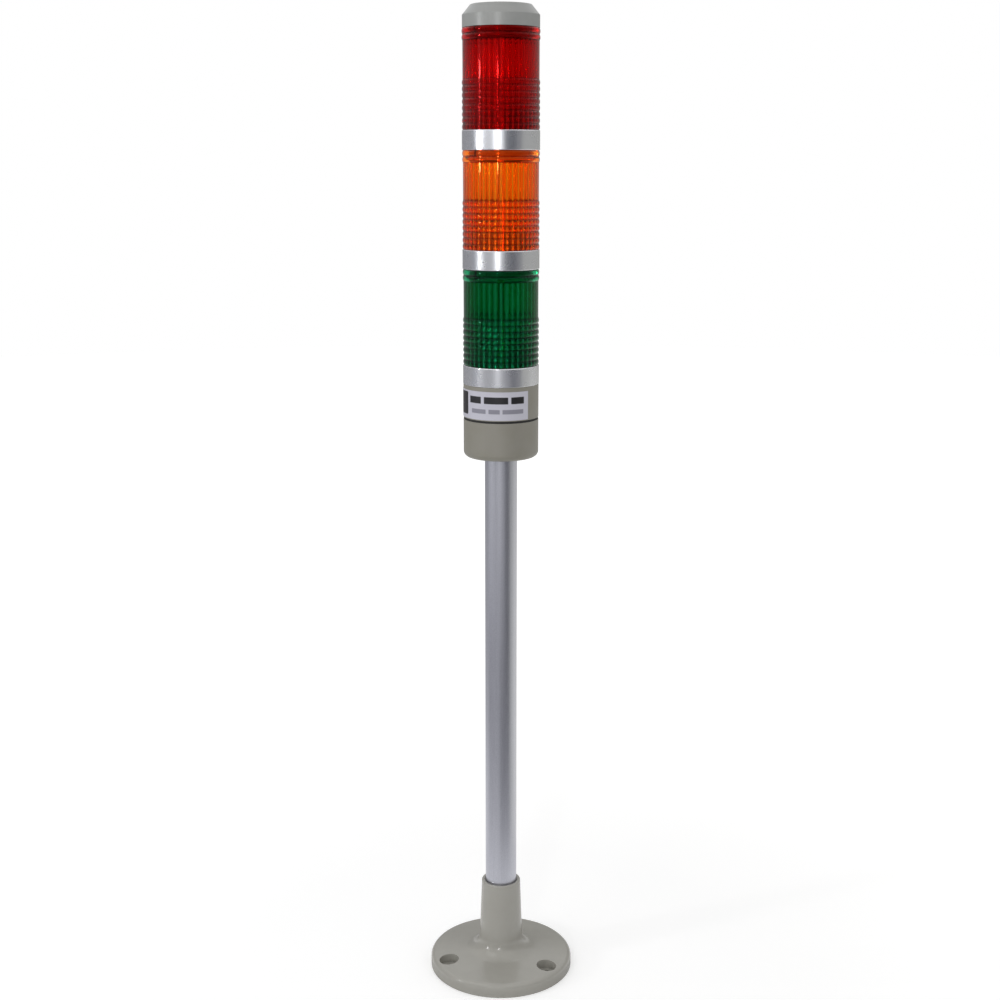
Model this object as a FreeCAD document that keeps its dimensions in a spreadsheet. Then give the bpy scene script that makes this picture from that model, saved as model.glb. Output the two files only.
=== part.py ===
import FreeCAD, Part
import math
import os
import re

import Sketcher
from FreeCAD import Vector

"""Three-tier stack light, 40 mm in diameter, on a pole with a round moulded foot.

Millimetres, +Z up.  The origin is the centre of the foot's underside, on the pole's axis, and
the label faces -Y.  Every sub-part is a body of this document, its sizes bound to the sheet.
"""

SIZES = [
    # The foot, a moulded shell with a tapered neck.
    ("foot_dia", 80, "outside of the flange"),
    ("foot_tall", 51.7, "underside to the top of the neck"),
    ("foot_edge", 7.3, "thickness of the flange at its edge"),
    ("flange_rise", 2.7, "how much the flange's top climbs to the neck"),
    ("neck_wall", 2.15, "wall of the neck at its mouth"),
    ("neck_taper", 1.55, "how much its radius grows down to the flange"),
    ("neck_sweep", 9, "hollow fillet from neck to flange"),
    ("edge_round", 2.8, "rounding of the flange's upper edge"),
    ("foot_skin", 2.6, "wall of the shell"),
    ("foot_core_wall", 3, "wall of the tube under the neck"),
    ("web_wide", 1.8, "radial webs under the flange"),
    ("web_count", 6, "radial webs under the flange"),
    ("foot_grip", 26, "depth of the pole in the foot"),
    ("seat_thick", 2.5, "shoulder that stops the pole"),
    ("seat_lip", 0.5, "how far both shoulders show inside the pole's bore"),
    ("mouth_chamfer", 0.7, "chamfer inside the neck's mouth"),
    # Fixing holes of the foot.
    ("fixing_circle", 64, "circle of the fixing holes"),
    ("fixing_count", 3, "fixing holes"),
    ("fixing_turn", -37, "direction of the first fixing hole from +X"),
    ("fixing_dia", 5.5, "clearance hole for an M5 screw"),
    ("recess_dia", 11, "recess for the screw's head"),
    ("recess_deep", 4.6, "recess for the screw's head"),
    ("recess_over", 3.4, "how far its cut starts above the flange"),
    ("recess_wall", 1.8, "wall of the boss round the recess"),
    # The pole and its two screws.
    ("pole_dia", 17.3, "outside of the tube"),
    ("pole_wall", 1.5, "wall of the tube"),
    ("pole_long", 287, "length of the tube"),
    ("pole_fit", 0.05, "clearance round the pole, on the radius"),
    ("screw_fit", 0.05, "clearance round a screw's shank, on the radius"),
    ("grub_dia", 4, "set screws"),
    ("grub_key", 2, "hexagon socket across flats"),
    ("grub_drop", 11.7, "foot screw's axis below the mouth"),
    ("grub_tip", 0.1, "gap between a set screw's tip and the pole"),
    ("lock_long", 10, "length of the housing's set screw"),
    ("lock_boss_dia", 7.6, "boss round the housing's set screw"),
    ("lock_height", 9, "its axis above the housing's underside"),
    # The two housings.
    ("body_dia", 40, "whole body, across its bright collars"),
    ("housing_inset", 0.1, "housings' face behind the collars"),
    ("housing_wall", 2, "their wall"),
    ("lower_tall", 20.4, "lower housing without its lip"),
    ("upper_tall", 17.5, "upper housing"),
    ("base_round", 3.2, "rounding of the lower housing's underside"),
    ("floor_thick", 2.5, "floor of the lower housing"),
    ("pole_grip", 16, "depth of the pole in the lower housing"),
    ("socket_wall", 2.1, "wall of the pole's socket"),
    ("lip_tall", 2.5, "lip that centres the upper housing"),
    ("lip_wall", 0.65, "its wall"),
    ("lip_fit", 0.15, "its clearance, on the radius"),
    ("seal_thick", 1.2, "seal between the housings"),
    ("seal_inset", 0.3, "seal's edge behind the housings' face"),
    ("tie_turn", 30, "direction of the first housing screw from +X"),
    ("tie_count", 3, "housing screws"),
    ("tie_dia", 3, "housing screw's shank"),
    ("tie_cover", 1, "closed end over the screw's bore"),
    ("tie_tip", 0.6, "gap over the screw's tip"),
    ("tie_head_dia", 5.4, "housing screw's head"),
    ("tie_head_tall", 2, "housing screw's head"),
    ("tie_recess", 5, "depth of the head's recess"),
    ("tie_recess_fit", 0.1, "clearance round the head, on the radius"),
    ("tie_boss_dia", 7.9, "boss in the lower housing"),
    ("tie_nut_dia", 6, "boss in the upper housing"),
    ("tie_web", 3, "web that ties that boss to the wall"),
    ("shelf_thick", 1.5, "shelf under the contact plate"),
    ("shelf_wide", 2.2, "how far that shelf reaches under the plate"),
    # The parts inside the housings.
    ("plate_fit", 0.2, "clearance of the contact plate in the mouth, on the radius"),
    ("plate_thick", 2, "contact plate"),
    ("plate_drop", 0.7, "contact plate below the bayonet's pocket"),
    ("window_dia", 5, "cable windows in the contact plate"),
    ("window_radius", 10, "their distance from the axis"),
    ("window_turn", 45, "direction of the first window from +X"),
    ("block_long", 16, "terminal block"),
    ("block_wide", 10, "terminal block"),
    ("block_tall", 8, "terminal block"),
    ("clamp_dia", 2.6, "terminal screws"),
    ("clamp_pitch", 3.7, "spacing of the terminal screws"),
    ("clamp_count", 4, "terminals"),
    ("clamp_long", 4, "terminal screws"),
    ("clamp_line", 2.5, "line of the terminal screws behind the block's middle"),
    ("well_deep", 6, "wells of the terminal screws"),
    ("entry_dia", 2.2, "wire entries of the terminal block"),
    ("entry_deep", 7.5, "wire entries of the terminal block"),
    # The bayonet that joins every tier to the one below.
    ("mouth_rim", 3.1, "bayonet's opening inside the body's outside, on the radius"),
    ("mouth_wall", 2.2, "ledge that the lugs lock under"),
    ("pocket_wide", 1.1, "pocket that the lugs turn in, beyond the opening"),
    ("bayonet_deep", 4.8, "depth of mouth and pocket"),
    ("spigot_gap", 0.3, "clearance round the spigot and its lugs, on the radius"),
    ("spigot_wall", 1.7, "wall of the spigot"),
    ("spigot_short", 0.2, "gap under the spigot"),
    ("lug_gap", 0.2, "clearance above and below a lug"),
    ("lug_count", 3, "lugs"),
    ("lug_span", 20, "width of a lug, in degrees"),
    ("lug_turn", 90, "direction of the first lug when locked, from +X"),
    ("twist", 25, "turn from locked to free, in degrees"),
    ("stop_gap", 0.6, "gap between a lug and its stops, in degrees"),
    # A light module.
    ("module_pitch", 60, "height that a module adds"),
    ("ring_tall", 10, "bright collar"),
    ("ring_wall", 1.05, "its wall round the lens"),
    ("ring_floor", 2.5, "its floor, which carries the lamp holder"),
    ("ring_round", 0.4, "its outer edges"),
    ("gasket_wide", 1.4, "flat gasket under a collar"),
    ("gasket_thick", 0.9, "flat gasket under a collar"),
    ("gasket_inset", 2.55, "gasket's inside edge from the collar's outside"),
    ("gasket_fit", 0.05, "clearance round the gasket, on the radius"),
    ("lens_inset", 0.45, "smooth outside of a lens behind the collars"),
    ("lens_wall", 2.35, "lens from its outside to the crests of its flutes"),
    ("lens_fit", 0.05, "clearance of the lens in its collar, on the radius"),
    ("crown_tall", 6, "solid band at the top of a lens"),
    ("flute_count", 36, "flutes inside a lens"),
    ("flute_radius", 1.5, "hollow of a flute"),
    ("flute_sink", 0.5, "centres of the flutes inside their crests"),
    ("rib_out", 0.35, "height of a rib"),
    ("rib_wide", 2.7, "width of a rib"),
    ("rib_pitch", 3.125, "spacing of the ribs"),
    ("low_ribs", 8, "ribs round the lower half"),
    ("top_ribs", 2, "ribs round the top"),
    # The lamp holder, its lamp and its contacts.
    ("holder_thick", 2.5, "disc of the holder"),
    ("holder_gap", 0.1, "clearance round the disc, on the radius"),
    ("cup_wall", 2.2, "wall of the lamp's socket"),
    ("cup_tall", 15.5, "lamp's socket above the disc"),
    ("cup_floor", 1.5, "bottom of the socket above the disc's underside"),
    ("lamp_cap_dia", 15, "lamp's metal cap"),
    ("lamp_fit", 0.1, "clearance round the lamp's cap, on the radius"),
    ("lamp_cap_tall", 17, "lamp's metal cap"),
    ("lamp_dia", 16, "lamp's glass"),
    ("lamp_tall", 36, "whole lamp"),
    ("lamp_flare", 2, "height of the cone from the cap to the glass"),
    ("pin_dia", 2, "lamp's two side pins"),
    ("pin_out", 1.1, "how far the side pins stand out"),
    ("pin_height", 13, "their axis above the lamp's foot"),
    ("strip_thick", 0.5, "contact strip"),
    ("strip_wide", 3, "contact strip"),
    ("strip_count", 4, "contact strips"),
    ("strip_clear", 0.4, "strips' backs inside the spigot"),
    ("strip_pad", 6, "length of a strip's lower pad"),
    ("strip_tip", 5, "length of a strip's upper spring"),
    ("strip_gap", 0.3, "gap between a spring and the pad over it"),
    ("slot_fit", 0.2, "clearance of a strip in the holder"),
    # The cap.
    ("cap_inset", 0.3, "skirt of the cap behind the collars"),
    ("cap_skirt", 6.2, "height of the skirt"),
    ("cap_shoulder", 11.2, "height at the edge of the crown"),
    ("cap_tall", 11.7, "whole cap above its seat"),
    ("cap_slope", 4.1, "width of the sloping shoulder"),
    ("cap_wall", 2.3, "wall of the crown"),
    ("skirt_round", 0.5, "edge between skirt and shoulder"),
    ("crown_round", 0.3, "edge between shoulder and crown"),
    # The label.
    ("label_over", 2.1, "bare housing above the label"),
    ("label_under", 0.5, "bare housing below the label"),
    ("label_thick", 0.13, "label"),
    ("label_glue", 0.02, "glue under the label"),
    ("label_right", 314.5, "direction of the label's right edge from +X"),
    ("label_span", 144.5, "how far the label wraps, in degrees"),
]

# The light modules, from the pole up.
TIERS = ("green", "amber", "red")

# Places and sizes that follow from the sheet.  Each name stands for its formula in any other.
DERIVED = {
    "foot_radius": "foot_dia / 2",
    "rim_inside": "foot_radius - foot_skin",
    "neck_root": "foot_edge + flange_rise",
    "flange_slope": "flange_rise / (foot_radius - core_radius)",
    "neck_radius": "socket_radius + neck_wall",
    "core_radius": "neck_radius + neck_taper",
    "core_inside": "core_radius - foot_core_wall",
    "pole_radius": "pole_dia / 2",
    "pole_bore": "pole_radius - pole_wall",
    "socket_radius": "pole_radius + pole_fit",
    "cable_radius": "pole_bore - seat_lip",
    "pole_foot": "foot_tall - foot_grip",
    "fixing_radius": "fixing_circle / 2",
    "recess_floor": "foot_edge + (foot_radius - fixing_radius) * flange_slope - recess_deep",
    "grub_height": "foot_tall - grub_drop",
    "grub_inner": "pole_radius + grub_tip",
    "grub_hole": "grub_dia / 2 + screw_fit",
    "neck_at_grub": "neck_radius + neck_taper * grub_drop / (foot_tall - neck_root)",
    "lower_base": "pole_foot + pole_long - pole_grip",
    "upper_base": "lower_base + lower_tall + seal_thick",
    "first_joint": "upper_base + upper_tall",
    "cap_base": f"first_joint + {len(TIERS)} * module_pitch",
    "body_radius": "body_dia / 2",
    "housing_radius": "body_radius - housing_inset",
    "housing_inside": "housing_radius - housing_wall",
    "socket_outside": "socket_radius + socket_wall",
    "socket_top": "pole_grip + seat_thick",
    "lip_outside": "housing_inside - lip_fit",
    "lip_inside": "lip_outside - lip_wall",
    "tie_radius": "lip_inside - lip_fit - tie_nut_dia / 2",
    "tie_top": "plate_base - tie_cover",
    "tie_long": "lower_tall + seal_thick - tie_recess + tie_top - tie_tip",
    "tie_hole": "tie_dia / 2 + screw_fit",
    "plate_top": "upper_tall - bayonet_deep - plate_drop",
    "plate_base": "plate_top - plate_thick",
    "plate_radius": "mouth_radius - plate_fit",
    "shelf_height": "plate_base - shelf_thick",
    "shelf_radius": "plate_radius - shelf_wide",
    "mouth_radius": "body_radius - mouth_rim",
    "pocket_radius": "mouth_radius + pocket_wide",
    "spigot_outside": "mouth_radius - spigot_gap",
    "spigot_inside": "spigot_outside - spigot_wall",
    "spigot_long": "bayonet_deep - spigot_short",
    "lug_radius": "pocket_radius - spigot_gap",
    "lug_top": "0 - mouth_wall - lug_gap",
    "lug_foot": "0 - bayonet_deep + lug_gap",
    "pocket_span": "lug_span + twist + 2 * stop_gap",
    "pocket_turn": "lug_turn + twist / 2",
    "notch_span": "lug_span + 2 * stop_gap",
    "notch_turn": "lug_turn + twist",
    "ring_bore": "body_radius - ring_wall",
    "lens_radius": "body_radius - lens_inset",
    "lens_foot": "ring_bore - lens_fit",
    "lens_crest": "lens_radius - lens_wall",
    "gasket_inside": "body_radius - gasket_inset",
    "gasket_outside": "gasket_inside + gasket_wide",
    "holder_top": "ring_floor + holder_thick",
    "cup_inside": "lamp_cap_dia / 2 + lamp_fit",
    "cup_radius": "cup_inside + cup_wall",
    "cup_rim": "holder_top + cup_tall",
    "lamp_foot": "ring_floor + cup_floor",
    "lamp_cap_top": "lamp_foot + lamp_cap_tall",
    "pin_level": "lamp_foot + pin_height",
    "strip_back": "spigot_inside - strip_clear",
    "strip_front": "strip_back - strip_thick",
    "strip_top": "module_pitch + strip_foot - strip_gap",
    "strip_foot": "ring_floor - strip_thick",
    "spring_top": "upper_tall + strip_foot - strip_gap",
    "label_inside": "housing_radius + label_glue",
    "label_turn": "label_right - label_span / 2",
    "cap_radius": "body_radius - cap_inset",
    "crown_radius": "cap_radius - cap_slope",
    "dome_radius": "(crown_radius^2 + (cap_tall - cap_shoulder)^2)"
                   " / (2 * (cap_tall - cap_shoulder))",
}

FUNCTIONS = ("sqrt", "sin", "cos")
SMALLEST_CHANGE = 1e-3
SAME_PLACE = 1e-6

document = FreeCAD.newDocument("StackLight")
sheet = document.addObject("Spreadsheet::Sheet", "Sizes")


def fill_sheet():
    """Write every size into the sheet, beside what it measures, and name its cell."""
    for row, (alias, value, meaning) in enumerate(SIZES, start=1):
        sheet.set(f"A{row}", alias.replace("_", " "))
        sheet.set(f"B{row}", str(value))
        sheet.set(f"C{row}", meaning)
        sheet.setAlias(f"B{row}", alias)
    document.recompute()


def bound(formula):
    """Return a formula of size names as an expression on the sheet's cells."""
    def swap(match):
        word = match.group(0)
        if word in DERIVED:
            return "(" + bound(DERIVED[word]) + ")"
        return word if word in FUNCTIONS else "Sizes." + word
    return re.sub(r"[A-Za-z_]+", swap, formula)


def number(formula):
    """Return the present value of a formula."""
    return float(sheet.evalExpression(bound(formula)))


def new_body(name, height="0"):
    """Start a sub-part whose own origin stands at a height on the pole's axis."""
    body = document.addObject("PartDesign::Body", name)
    body.Label = name
    body.setExpression(".Placement.Base.z", bound(height))
    return body


def origin_part(body, role):
    """Return one of a body's own origin planes or axes."""
    return next(item for item in body.Origin.OriginFeatures if item.Role == role)


def new_sketch(body, name, role="XZ_Plane", offset="0", turn="0"):
    """Start a sketch on an origin plane, moved along its normal or turned about the Z axis."""
    sketch = body.newObject("Sketcher::SketchObject", name)
    sketch.AttachmentSupport = (origin_part(body, role), [""])
    sketch.MapMode = "FlatFace"
    upright = Vector(0, 0, 1) if role == "XY_Plane" else Vector(0, 1, 0)
    sketch.AttachmentOffset = FreeCAD.Placement(Vector(), FreeCAD.Rotation(upright, number(turn)))
    sketch.setExpression(".AttachmentOffset.Base.z", bound(offset))
    if turn != "0":
        sketch.setExpression(".AttachmentOffset.Rotation.Angle", bound(turn))
    return sketch


def bind_constraint(sketch, kind, *place, formula):
    """Add one dimension to a sketch and bind it to its formula."""
    index = sketch.addConstraint(Sketcher.Constraint(kind, *place, number(formula)))
    sketch.setExpression(f"Constraints[{index}]", bound(formula))


def draw_outline(sketch, corners):
    """Draw a closed outline, anticlockwise, through corners given as formulas.

    A third formula on a corner makes the edge that leaves it an arc of that radius, which
    bulges out of the outline.
    """
    places = [Vector(number(corner[0]), number(corner[1]), 0) for corner in corners]
    edges = []
    for index, corner in enumerate(corners):
        here = places[index]
        there = places[(index + 1) % len(places)]
        if len(corner) == 2:
            edges.append(sketch.addGeometry(Part.LineSegment(here, there), False))
            continue
        chord = there - here
        radius = number(corner[2])
        bulge = radius - math.sqrt(radius ** 2 - (chord.Length / 2) ** 2)
        outward = Vector(chord.y, -chord.x, 0).normalize()
        crest = (here + there) / 2 + outward * bulge
        edges.append(sketch.addGeometry(Part.Arc(here, crest, there), False))
        bind_constraint(sketch, "Radius", edges[-1], formula=corner[2])
    for index, edge in enumerate(edges):
        following = edges[(index + 1) % len(edges)]
        sketch.addConstraint(Sketcher.Constraint("Coincident", edge, 2, following, 1))
        bind_constraint(sketch, "DistanceX", -1, 1, edge, 1, formula=corners[index][0])
        bind_constraint(sketch, "DistanceY", -1, 1, edge, 1, formula=corners[index][1])


def draw_box(sketch, left, low, right, high):
    """Draw a rectangle between four formulas."""
    draw_outline(sketch, [(left, low), (right, low), (right, high), (left, high)])


def draw_circle(sketch, across, up, radius):
    """Draw a circle whose centre and radius are formulas."""
    centre = Vector(number(across), number(up), 0)
    circle = sketch.addGeometry(Part.Circle(centre, Vector(0, 0, 1), number(radius)), False)
    bind_constraint(sketch, "Radius", circle, formula=radius)
    bind_constraint(sketch, "DistanceX", -1, 1, circle, 3, formula=across)
    bind_constraint(sketch, "DistanceY", -1, 1, circle, 3, formula=up)


def settle(body, feature, adds):
    """Make a feature the body's tip and prove that it added or removed material."""
    body.Tip = feature
    document.recompute()
    before = feature.BaseFeature.Shape.Volume if feature.BaseFeature else 0
    change = feature.Shape.Volume - before
    if (change if adds else -change) < SMALLEST_CHANGE:
        raise RuntimeError(f"{body.Label}.{feature.Label} changes the volume by {change}")
    return feature


def turn_profile(body, sketch, name, adds=True, span=None):
    """Revolve a sketch about its own upright axis, whole or evenly to both sides of it."""
    kind = "PartDesign::Revolution" if adds else "PartDesign::Groove"
    feature = body.newObject(kind, name)
    feature.Profile = sketch
    feature.ReferenceAxis = (sketch, ["V_Axis"])
    feature.Angle = 360
    if span:
        feature.Midplane = True
        feature.setExpression("Angle", bound(span))
    return settle(body, feature, adds)


def add_pad(body, sketch, name, length, both_ways=False, backwards=False):
    """Raise a sketch along its normal, against it, or evenly both ways."""
    feature = body.newObject("PartDesign::Pad", name)
    feature.Profile = sketch
    feature.setExpression("Length", bound(length))
    feature.Midplane = both_ways
    feature.Reversed = backwards
    return settle(body, feature, True)


def cut_pocket(body, sketch, name, length, both_ways=False, along_normal=False):
    """Sink a sketch against its normal, along it, or evenly both ways."""
    feature = body.newObject("PartDesign::Pocket", name)
    feature.Profile = sketch
    feature.setExpression("Length", bound(length))
    feature.Midplane = both_ways
    feature.Reversed = along_normal
    return settle(body, feature, False)


def ring_of(body, features, name, count, adds=True):
    """Repeat features evenly round the Z axis."""
    pattern = body.newObject("PartDesign::PolarPattern", name)
    pattern.Originals = features
    pattern.Axis = (origin_part(body, "Z_Axis"), [""])
    pattern.Angle = 360
    pattern.setExpression("Occurrences", bound(count))
    return settle(body, pattern, adds)


def column_of(body, features, name, count, pitch):
    """Repeat features upwards at a constant pitch."""
    pattern = body.newObject("PartDesign::LinearPattern", name)
    pattern.Originals = features
    pattern.Direction = (origin_part(body, "Z_Axis"), [""])
    pattern.setExpression("Length", bound(f"({count} - 1) * {pitch}"))
    pattern.setExpression("Occurrences", bound(count))
    return settle(body, pattern, True)


def circles_at(feature, *places):
    """Return the names of a shape's whole circles round the axis, by radius and height."""
    wanted = [(number(radius), number(height)) for radius, height in places]
    names = []
    for index, edge in enumerate(feature.Shape.Edges, start=1):
        if edge.Degenerated or not isinstance(edge.Curve, Part.Circle):
            continue
        curve = edge.Curve
        if math.hypot(curve.Center.x, curve.Center.y) > SAME_PLACE:
            continue
        if any(abs(curve.Radius - radius) + abs(curve.Center.z - height) < SAME_PLACE
               for radius, height in wanted):
            names.append(f"Edge{index}")
    if len(names) < len(places):
        raise RuntimeError(f"{feature.Label} has {len(names)} of {len(places)} edges")
    return names


def round_edges(body, name, radius, *places):
    """Fillet whole circles round the axis."""
    base = body.Tip
    feature = body.newObject("PartDesign::Fillet", name)
    feature.Base = (base, circles_at(base, *places))
    feature.setExpression("Radius", bound(radius))
    body.Tip = feature
    document.recompute()
    return feature


def bevel_edges(body, name, size, *places):
    """Chamfer whole circles round the axis."""
    base = body.Tip
    feature = body.newObject("PartDesign::Chamfer", name)
    feature.Base = (base, circles_at(base, *places))
    feature.setExpression("Size", bound(size))
    body.Tip = feature
    document.recompute()
    return feature


def build_foot():
    """Build the moulded foot: tapered neck, thin flange, webs, fixing bosses and pole socket."""
    body = new_body("foot")
    outside = new_sketch(body, "FootOutside")
    draw_outline(outside, [
        ("0", "0"),
        ("foot_radius", "0"),
        ("foot_radius", "foot_edge"),
        ("core_radius", "neck_root"),
        ("neck_radius", "foot_tall"),
        ("0", "foot_tall"),
    ])
    turn_profile(body, outside, "FootBlank")
    round_edges(body, "NeckSweep", "neck_sweep", ("core_radius", "neck_root"))
    round_edges(body, "FlangeEdge", "edge_round", ("foot_radius", "foot_edge"))
    hollow = new_sketch(body, "FlangeHollow")
    draw_outline(hollow, [
        ("core_radius", "0"),
        ("rim_inside", "0"),
        ("rim_inside", "foot_edge + foot_skin * (flange_slope - 1)"),
        ("core_radius", "neck_root - foot_skin"),
    ])
    turn_profile(body, hollow, "FlangeShell", adds=False)
    web = new_sketch(body, "Web", "XY_Plane")
    draw_box(web, "core_radius - foot_core_wall / 2", "0 - web_wide / 2",
             "rim_inside + foot_skin / 2", "web_wide / 2")
    webs = add_pad(body, web, "FlangeWeb", "foot_edge - foot_skin / 2")
    ring_of(body, [webs], "FlangeWebs", "web_count")
    boss = new_sketch(body, "Boss", "XY_Plane", turn="fixing_turn")
    draw_circle(boss, "fixing_radius", "0", "recess_dia / 2 + recess_wall")
    bosses = add_pad(body, boss, "FixingBoss", "foot_edge - foot_skin / 2")
    ring_of(body, [bosses], "FixingBosses", "fixing_count")
    core = new_sketch(body, "CoreHollow")
    draw_outline(core, [
        ("0", "0"),
        ("core_inside", "0"),
        ("core_inside", "neck_root"),
        ("cable_radius", "pole_foot - seat_thick"),
        ("cable_radius", "pole_foot"),
        ("socket_radius", "pole_foot"),
        ("socket_radius", "foot_tall"),
        ("0", "foot_tall"),
    ])
    turn_profile(body, core, "PoleSocket", adds=False)
    bevel_edges(body, "SocketLead", "mouth_chamfer", ("socket_radius", "foot_tall"))
    round_edges(body, "NeckLip", "mouth_chamfer", ("neck_radius", "foot_tall"))
    holes = new_sketch(body, "FixingCentres", "XY_Plane",
                       offset="recess_floor + recess_deep + recess_over")
    for place in range(number_of("fixing_count")):
        turn = f"(fixing_turn + {place} * 360 / fixing_count)"
        draw_circle(holes, f"fixing_radius * cos{turn}", f"fixing_radius * sin{turn}",
                    "fixing_dia / 2")
    document.recompute()
    drilled = body.newObject("PartDesign::Hole", "FixingHoles")
    drilled.Profile = holes
    drilled.ThreadType = "None"
    drilled.DepthType = "ThroughAll"
    drilled.HoleCutType = "Counterbore"
    drilled.HoleCutCustomValues = True
    drilled.setExpression("Diameter", bound("fixing_dia"))
    drilled.setExpression("HoleCutDiameter", bound("recess_dia"))
    drilled.setExpression("HoleCutDepth", bound("recess_deep + recess_over"))
    settle(body, drilled, adds=False)
    tapped = new_sketch(body, "GrubAxis", offset="0 - core_radius")
    draw_circle(tapped, "0", "grub_height", "grub_hole")
    cut_pocket(body, tapped, "GrubHole", "core_radius - pole_bore", along_normal=True)
    return body


def build_set_screw(name, height, inner, outer):
    """Build a set screw that lies along +Y between two distances from the axis."""
    body = new_body(name)
    shank = new_sketch(body, "Shank", offset=f"0 - ({inner})")
    draw_circle(shank, "0", height, "grub_dia / 2")
    add_pad(body, shank, "ScrewShank", f"{outer} - ({inner})", backwards=True)
    key = new_sketch(body, "Key", offset=f"0 - ({outer})")
    corners = [(f"grub_key / sqrt(3) * cos({60 * side})",
                f"{height} + grub_key / sqrt(3) * sin({60 * side})") for side in range(6)]
    draw_outline(key, corners)
    cut_pocket(body, key, "KeySocket", "grub_dia / 2", along_normal=True)
    return body


def build_pole():
    """Build the drawn tube, from its seat in the foot to its seat in the lower housing."""
    body = new_body("pole_tube", "pole_foot")
    section = new_sketch(body, "Section", "XY_Plane")
    draw_circle(section, "0", "0", "pole_radius")
    draw_circle(section, "0", "0", "pole_bore")
    add_pad(body, section, "Tube", "pole_long")
    return body


def build_lower_housing():
    """Build the cup that holds the pole: socket, screw bosses, set screw boss and lip."""
    body = new_body("lower_housing", "lower_base")
    outside = new_sketch(body, "CupOutside")
    draw_outline(outside, [
        ("0", "0"),
        ("housing_radius", "0"),
        ("housing_radius", "lower_tall"),
        ("lip_outside", "lower_tall"),
        ("lip_outside", "lower_tall + lip_tall"),
        ("0", "lower_tall + lip_tall"),
    ])
    turn_profile(body, outside, "CupBlank")
    round_edges(body, "CupEdge", "base_round", ("housing_radius", "0"))
    hollow = new_sketch(body, "CupHollow")
    draw_outline(hollow, [
        ("0", "socket_top"),
        ("socket_outside", "socket_top"),
        ("socket_outside", "floor_thick"),
        ("lip_inside", "floor_thick"),
        ("lip_inside", "lower_tall + lip_tall"),
        ("0", "lower_tall + lip_tall"),
    ])
    turn_profile(body, hollow, "CupShell", adds=False)
    boss = new_sketch(body, "TieBoss", "XY_Plane", turn="tie_turn", offset="floor_thick / 2")
    draw_circle(boss, "tie_radius", "0", "tie_boss_dia / 2")
    bosses = add_pad(body, boss, "ScrewBoss", "lower_tall - floor_thick / 2")
    ring_of(body, [bosses], "ScrewBosses", "tie_count")
    lock = new_sketch(body, "LockBoss", offset="0 - (socket_radius + socket_wall / 2)")
    draw_circle(lock, "0", "lock_height", "lock_boss_dia / 2")
    add_pad(body, lock, "LockScrewBoss", "lip_inside + lip_wall - socket_radius - socket_wall / 2",
            backwards=True)
    socket = new_sketch(body, "Socket")
    draw_outline(socket, [
        ("0", "0"),
        ("socket_radius", "0"),
        ("socket_radius", "pole_grip"),
        ("cable_radius", "pole_grip"),
        ("cable_radius", "socket_top"),
        ("0", "socket_top"),
    ])
    turn_profile(body, socket, "PoleSocket", adds=False)
    recess = new_sketch(body, "TieRecess", "XY_Plane", turn="tie_turn")
    draw_circle(recess, "tie_radius", "0", "tie_head_dia / 2 + tie_recess_fit")
    sunk = cut_pocket(body, recess, "HeadRecess", "tie_recess", along_normal=True)
    bore = new_sketch(body, "TieBore", "XY_Plane", turn="tie_turn")
    draw_circle(bore, "tie_radius", "0", "tie_hole")
    drilled = cut_pocket(body, bore, "ScrewBore", "lower_tall", along_normal=True)
    ring_of(body, [sunk, drilled], "ScrewBores", "tie_count", adds=False)
    tapped = new_sketch(body, "LockAxis", offset="0 - housing_radius")
    draw_circle(tapped, "0", "lock_height", "grub_hole")
    cut_pocket(body, tapped, "LockHole", "housing_radius - pole_bore", along_normal=True)
    return body


def add_bayonet_mouth(body, top):
    """Cut the entries and the turning pockets of a bayonet's mouth, below a height."""
    pocket = new_sketch(body, "LugPocket", turn="pocket_turn")
    draw_box(pocket, "mouth_radius - spigot_gap", f"{top} - bayonet_deep",
             "pocket_radius", f"{top} - mouth_wall")
    turning = turn_profile(body, pocket, "TurningPocket", adds=False, span="pocket_span")
    notch = new_sketch(body, "LugEntry", turn="notch_turn")
    draw_box(notch, "mouth_radius - spigot_gap", f"{top} - mouth_wall", "pocket_radius", top)
    entry = turn_profile(body, notch, "EntryNotch", adds=False, span="notch_span")
    ring_of(body, [turning, entry], "BayonetMouth", "lug_count", adds=False)


def add_bayonet_spigot(body, carrier):
    """Add the spigot that hangs below a tier's seat, and its lugs."""
    spigot = new_sketch(body, "Spigot")
    draw_box(spigot, "spigot_inside", "0 - spigot_long", "spigot_outside", carrier)
    turn_profile(body, spigot, "BayonetSpigot")
    lug = new_sketch(body, "Lug", turn="lug_turn")
    draw_box(lug, "spigot_outside - spigot_wall / 2", "lug_foot", "lug_radius", "lug_top")
    lugs = turn_profile(body, lug, "BayonetLug", span="lug_span")
    ring_of(body, [lugs], "BayonetLugs", "lug_count")


def add_gasket_recess(body):
    """Sink the recess of the flat gasket into a tier's seat."""
    recess = new_sketch(body, "GasketRecess")
    draw_box(recess, "gasket_inside - gasket_fit", "0",
             "gasket_outside + gasket_fit", "gasket_thick")
    turn_profile(body, recess, "GasketSeat", adds=False)


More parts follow.
